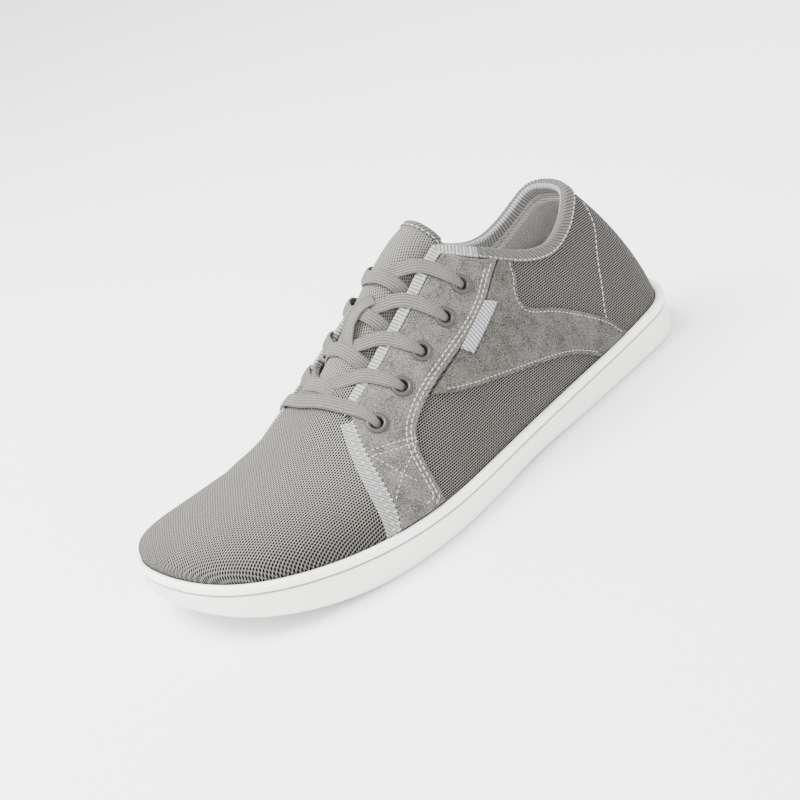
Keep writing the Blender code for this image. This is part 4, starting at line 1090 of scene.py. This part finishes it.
# Fine picks lie across the lace, and its ribs show as dark lines 1.2 mm apart
picks = add(tree, "ShaderNodeTexWave", {"Scale": math.tau / 20 / 1.1, "Distortion": 1.5, "Detail": 1.0},
            {0: uv})
ribs = add(tree, "ShaderNodeTexWave", {"Scale": math.tau / 20 / 1.2, "bands_direction": "Y"}, {0: uv})
fibre = add(tree, "ShaderNodeTexNoise", {"Scale": 1.6, "Detail": 3.0}, {0: uv})
both = plus_share(tree, 0.45, ribs.outputs["Fac"], plus_share(tree, 0.15, picks.outputs["Fac"], fibre))
thin = add(tree, "ShaderNodeMapRange", {"From Min": 0.45, "From Max": 1.0}, {0: both})
colour_and_bump(tree, shader, "#3d3b38", "#6c6a64", thin, 0.6, 0.15, both)


def eyelet_off(number, side):
    """x of an eyelet and its distance off the ridge."""
    phi, rise = (values[number] for values in eyelet_places(side))
    x, y, _ = last_point(phi, rise)
    return x, abs(y - section(RIDGE_Y, x / LENGTH))


def out_of_eyelet(number, side, ridge_x):
    """Route of a lace up through an eyelet, over the ring and the throat tape towards the ridge."""
    x, away = eyelet_off(number, side)
    route = [(x - 0.3, side * (away + 0.6), -1.5), (x + 0.1, side * (away + 0.1), 1.3)]
    for part, share, lift in LACE_RISE[side]:
        route.append((x + (ridge_x - x) * share, side * away * part, lift))
    return route


def crossing(number, side, over):
    """Route from an eyelet, across the tongue, to below the far edge of the throat."""
    ridge_x, far_x = LACE_ROWS[number]
    route = out_of_eyelet(number, side, ridge_x)
    for off, above in ((0.0, 0.7), (7.0, 1.2), (13.0, 0.9), (18.0, -0.3)) if over else DIVES:
        x = ridge_x + (far_x - ridge_x) * min(off / 14.0, 1)
        route.append((x, -side * off, tongue_lift(x, off) + LACE_THICK / 2 + 0.15 + above))
    return route


# From the eyelet to the ridge: share of the way in, share of the way forward, lift
LACE_RISE = {1: ((0.90, 0.12, 2.8), (0.73, 0.27, 2.3), (0.58, 0.44, 1.9), (0.44, 0.63, 0.5),
                 (0.28, 0.82, 0.0)),
             -1: ((0.90, 0.30, 2.2), (0.73, 0.58, 1.7), (0.58, 0.80, 0.8), (0.44, 0.93, -0.3),
                  (0.28, 1.0, 0.2))}
DIVES = ((0.0, 0.0), (7.0, 0.1), (13.0, 0.1), (18.0, -0.4))
# x at the ridge and at the far edge of the throat, for the laces of eyelets 2 to 5
LACE_ROWS = {1: (176.8, 178.5), 2: (162.6, 163.6), 3: (149.0, 148.6), 4: (136.0, 133.8)}
BAR = ((178.0, 28.5, 2.7), (179.3, 22.5, 2.2), (181.5, 14.0, 1.8), (183.5, 3.0, 1.7), (184.6, -6.0, 1.8),
       (183.6, -14.0, 2.0), (181.0, -22.5, 2.2), (178.6, -28.5, 2.7))
WIDE = (2.6, 3.4, 5.2, 6.0) + (6.0,) * 12
near, far = out_of_eyelet(0, 1, 184.0), out_of_eyelet(0, -1, 184.0)
laces = [("lace_bar_1", [lace(near[:2] + list(BAR) + far[1::-1], WIDE[:8] + WIDE[7::-1])])]
for name, rows in (("lace_crossing_2", (1,)), ("lace_crossing_3_4", (2, 3)), ("lace_crossing_5", (4,))):
    laces.append((name, [lace(crossing(row, side, side < 0), WIDE) for row in rows for side in (1, -1)]))
# The lace that joins the third and fourth rows along the ridge
LOOP = ((143.0, 6.0, -0.9), (146.5, 3.6, 0.5), (151.0, 2.0, 0.8), (156.0, 2.4, 0.6), (161.5, 4.6, -0.9))
loop = [(x, off, tongue_lift(x, off) + 1.5 * LACE_THICK + above) for x, off, above in LOOP]
laces[2][1].append(lace(loop, (5.8, 7.0, 6.0)))
for name, strips in laces:
    for number, rings in enumerate(strips):
        piece = sweep(f"woven_{name}_{number}", rings, (lace_weave,))
        place(piece, "grey_lace", name)

# Eyelets
# Ten painted metal rings, pressed flat over the suede with a short barrel through it. One ring is
# modelled by a tree of nodes and set down on all ten places.
def node_tree(name):
    """An empty tree of geometry nodes with one geometry in and out."""
    tree = bpy.data.node_groups.new(name, "GeometryNodeTree")
    tree.interface.new_socket("Geometry", in_out="INPUT", socket_type="NodeSocketGeometry")
    tree.interface.new_socket("Geometry", in_out="OUTPUT", socket_type="NodeSocketGeometry")
    return tree


def spread(name, points, edges, ups, tree, settings):
    """Runs a tree over points that carry an `up` direction and returns the outcome as a plain mesh."""
    mesh = bpy.data.meshes.new(name)
    mesh.from_pydata((np.asarray(points) + SHIFT) * MM, edges, [])
    up = mesh.attributes.new("up", "FLOAT_VECTOR", "POINT")
    up.data.foreach_set("vector", np.asarray(ups, np.float32).ravel())
    obj = put(name, mesh)
    modifier = obj.modifiers.new(name, "NODES")
    modifier.node_group = tree
    for socket in tree.interface.items_tree:
        if socket.in_out == "INPUT" and socket.name in settings:
            modifier[socket.identifier] = settings[socket.name]
    bpy.context.view_layer.update()
    graph = bpy.context.evaluated_depsgraph_get()
    result = bpy.data.meshes.new_from_object(obj.evaluated_get(graph))
    obj.modifiers.remove(modifier)
    obj.data = result
    return obj


ring_paint, tree, shader = surface("grey_painted_metal", "#2c2b28", {"Roughness": 0.45, "Coat Weight": 0.08,
                                                                     "Coat Roughness": 0.3})
rings_tree = node_tree("eyelet rings")
for name, kind in (("Ring Radius", "NodeSocketFloat"), ("Rim Radius", "NodeSocketFloat"),
                   ("Barrel Depth", "NodeSocketFloat"), ("Paint", "NodeSocketMaterial")):
    rings_tree.interface.new_socket(name, in_out="INPUT", socket_type=kind)
given = add(rings_tree, "NodeGroupInput")
round_path = add(rings_tree, "GeometryNodeCurvePrimitiveCircle", {"Resolution": 36},
                 {"Radius": given.outputs["Ring Radius"]})
rim_shape = add(rings_tree, "GeometryNodeCurvePrimitiveCircle", {"Resolution": 12},
                {"Radius": given.outputs["Rim Radius"]})
rim_mesh = add(rings_tree, "GeometryNodeCurveToMesh", {}, {"Curve": round_path, "Profile Curve": rim_shape})
flat_rim = add(rings_tree, "GeometryNodeTransform", {"Scale": (1.0, 1.0, 0.8)}, {"Geometry": rim_mesh})
barrel_path = add(rings_tree, "GeometryNodeCurvePrimitiveCircle", {"Resolution": 36, "Radius": 2.72 * MM})
wall_shape = add(rings_tree, "GeometryNodeCurvePrimitiveQuadrilateral", {"Width": 0.4 * MM},
                 {"Height": given.outputs["Barrel Depth"]})
barrel = add(rings_tree, "GeometryNodeCurveToMesh", {}, {"Curve": barrel_path, "Profile Curve": wall_shape})
half_depth = add(rings_tree, "ShaderNodeMath", {"operation": "MULTIPLY", 1: -0.5},
                 {0: given.outputs["Barrel Depth"]})
below = add(rings_tree, "ShaderNodeCombineXYZ", {}, {"Z": half_depth})
sunk = add(rings_tree, "GeometryNodeTransform", {}, {"Geometry": barrel, "Translation": below})
ring = add(rings_tree, "GeometryNodeJoinGeometry")
for part in (flat_rim, sunk):
    rings_tree.links.new(part.outputs[0], ring.inputs[0])
direction = add(rings_tree, "GeometryNodeInputNamedAttribute", {"data_type": "FLOAT_VECTOR", "Name": "up"})
turn = add(rings_tree, "FunctionNodeAlignRotationToVector", {"axis": "Z"}, {"Vector": direction.outputs[0]})
set_down = add(rings_tree, "GeometryNodeInstanceOnPoints", {}, {"Points": given.outputs[0], "Instance": ring,
                                                                "Rotation": turn})
real = add(rings_tree, "GeometryNodeRealizeInstances", {}, {0: set_down})
smooth = add(rings_tree, "GeometryNodeSetShadeSmooth", {}, {"Geometry": real})
painted = add(rings_tree, "GeometryNodeSetMaterial", {}, {"Geometry": smooth,
                                                          "Material": given.outputs["Paint"]})
add(rings_tree, "NodeGroupOutput", {}, {0: painted})
spots, ups, names = [], [], []
for label, side in (("lateral", 1), ("medial", -1)):
    for number, (phi, rise) in enumerate(zip(*eyelet_places(side)), 1):
        spots.append(lifted(phi, rise, SUEDE_GAP + SUEDE + 0.25))
        ups.append(last_normal(phi, rise))
        names.append(f"eyelet_{label}_{number}")
eyelets = spread("painted_eyelets", spots, [], ups, rings_tree,
                 {"Ring Radius": 3.45 * MM, "Rim Radius": 0.92 * MM, "Barrel Depth": 3.6 * MM,
                  "Paint": ring_paint})
place(eyelets, "grey_painted_metal", *names)

# Stitches
# Pale polyester thread in short raised stitches, 2.5 mm apart on the main seams and 2.1 mm on the fine
# ones. One tree follows every row and sets a small rounded stitch along it.
REAR_SEAM = ((31.5, 71.5), (34.3, 62.1), (38.9, 55.5), (43.9, 47.2), (48.4, 37.7), (52.1, 29.6), (52.8, 26.5))
for side in (1, -1):
    seam(side_line(REAR_SEAM, side, 60), 0.15)
# Twisted polyester thread with a slight shine, bold on the main seams and thin on the others
thread, _, _ = surface("pale_polyester_thread", "#a19f99", {"Roughness": 0.6, "Specular IOR Level": 0.2})
fine_thread, _, _ = surface("grey_polyester_thread", "#a3a19b", {"Roughness": 0.7,
                                                                 "Specular IOR Level": 0.2})
stitch_tree = node_tree("stitch rows")
for name, kind in (("Spacing", "NodeSocketFloat"), ("Stitch Size", "NodeSocketVector"),
                   ("Thread", "NodeSocketMaterial")):
    stitch_tree.interface.new_socket(name, in_out="INPUT", socket_type=kind)
given = add(stitch_tree, "NodeGroupInput")
path = add(stitch_tree, "GeometryNodeMeshToCurve", {}, {0: given.outputs[0]})
steps = add(stitch_tree, "GeometryNodeResampleCurve", {"mode": "LENGTH"},
            {"Curve": path, "Length": given.outputs["Spacing"]})
tangent = add(stitch_tree, "GeometryNodeInputTangent")
direction = add(stitch_tree, "GeometryNodeInputNamedAttribute", {"data_type": "FLOAT_VECTOR", "Name": "up"})
turn = add(stitch_tree, "FunctionNodeAxesToRotation", {"primary_axis": "X", "secondary_axis": "Z"},
           {0: tangent.outputs[0], 1: direction.outputs[0]})
bead = add(stitch_tree, "GeometryNodeMeshUVSphere", {"Segments": 8, "Rings": 5, "Radius": 0.5})
set_down = add(stitch_tree, "GeometryNodeInstanceOnPoints", {},
               {"Points": steps, "Instance": bead, "Rotation": turn, "Scale": given.outputs["Stitch Size"]})
real = add(stitch_tree, "GeometryNodeRealizeInstances", {}, {0: set_down})
smooth = add(stitch_tree, "GeometryNodeSetShadeSmooth", {}, {"Geometry": real})
threaded = add(stitch_tree, "GeometryNodeSetMaterial", {}, {"Geometry": smooth,
                                                            "Material": given.outputs["Thread"]})
add(stitch_tree, "NodeGroupOutput", {}, {0: threaded})
for name, rows, spacing, size, colour in (("pale_stitches", STITCH_ROWS, 2.5, (2.1, 0.65, 0.5), thread),
                                          ("fine_stitches", FINE_ROWS, 2.1, (1.5, 0.45, 0.4), fine_thread)):
    points, ups, edges = [], [], []
    for row, row_ups in rows:
        start = len(points)
        points.extend(row)
        ups.extend(row_ups)
        edges.extend((start + k, start + k + 1) for k in range(len(row) - 1))
    stitches = spread(name, points, edges, ups, stitch_tree,
                      {"Spacing": spacing * MM, "Stitch Size": tuple(s * MM for s in size), "Thread": colour})
    place(stitches, "silver_twill_tape")

# Floor, light and camera
# A plain pale floor under soft studio light. The camera keeps the photo's angle to the shoe: it looks
# from the lateral side past the toe, and is rolled so that the toe hangs to the lower left.
floor_mesh = bpy.data.meshes.new("studio_floor")
floor_mesh.from_pydata([(-40, -40, 0), (40, -40, 0), (40, 40, 0), (-40, 40, 0)], [], [(0, 1, 2, 3)])
floor = put("studio_floor", floor_mesh)
floor_paint, _, _ = surface("matt_pale_floor", "#efeff0", {"Roughness": 0.9, "Specular IOR Level": 0.1})
floor_mesh.materials.append(floor_paint)

world = bpy.data.worlds.new("studio")
world.use_nodes = True
world.node_tree.nodes["Background"].inputs["Color"].default_value = rgba("#fbfbfd")
world.node_tree.nodes["Background"].inputs["Strength"].default_value = 2.8
bpy.context.scene.world = world
# Each lamp: name, where it stands from the shoe in metres, size, power
for name, spot, size, power in (("key", (0.55, -0.35, 1.25), 0.9, 66.0),
                                ("fill", (0.7, 1.1, 0.7), 1.2, 10.0)):
    lamp = bpy.data.lights.new(name, "AREA")
    lamp.shape = "DISK"
    lamp.size = size
    lamp.energy = power
    holder = put(name, lamp)
    holder.location = spot
    holder.rotation_euler = (Vector((0, 0, 0.04)) - Vector(spot)).to_track_quat("-Z", "Y").to_euler()

LOOK_AT = (135.0, 0.0, 35.0)
AZIMUTH, ELEVATION, ROLL = 147.513, 23.865, -20.413
DISTANCE, FOCAL = 694.918, 74.803
FRAME_CENTRE = (419.985, 391.092)   # where LOOK_AT falls, in pixels of the 800 by 800 frame
a, e = math.radians(AZIMUTH), math.radians(ELEVATION)
back = Vector((math.sin(a) * math.cos(e), -math.cos(a) * math.cos(e), math.sin(e)))
lens = bpy.data.cameras.new("photo_view")
lens.lens = FOCAL
lens.sensor_width = 36.0
lens.clip_start = 0.01
lens.clip_end = 200.0
lens.shift_x = -(FRAME_CENTRE[0] - 400) / 800
lens.shift_y = (FRAME_CENTRE[1] - 400) / 800
camera = put("photo_view", lens)
camera.location = (Vector(LOOK_AT) + Vector(SHIFT) + back * DISTANCE) * MM
camera.rotation_mode = "QUATERNION"
camera.rotation_quaternion = ((-back).to_track_quat("-Z", "Y").to_matrix()
                              @ Matrix.Rotation(math.radians(ROLL), 3, "Z")).to_quaternion()
bpy.context.scene.camera = camera
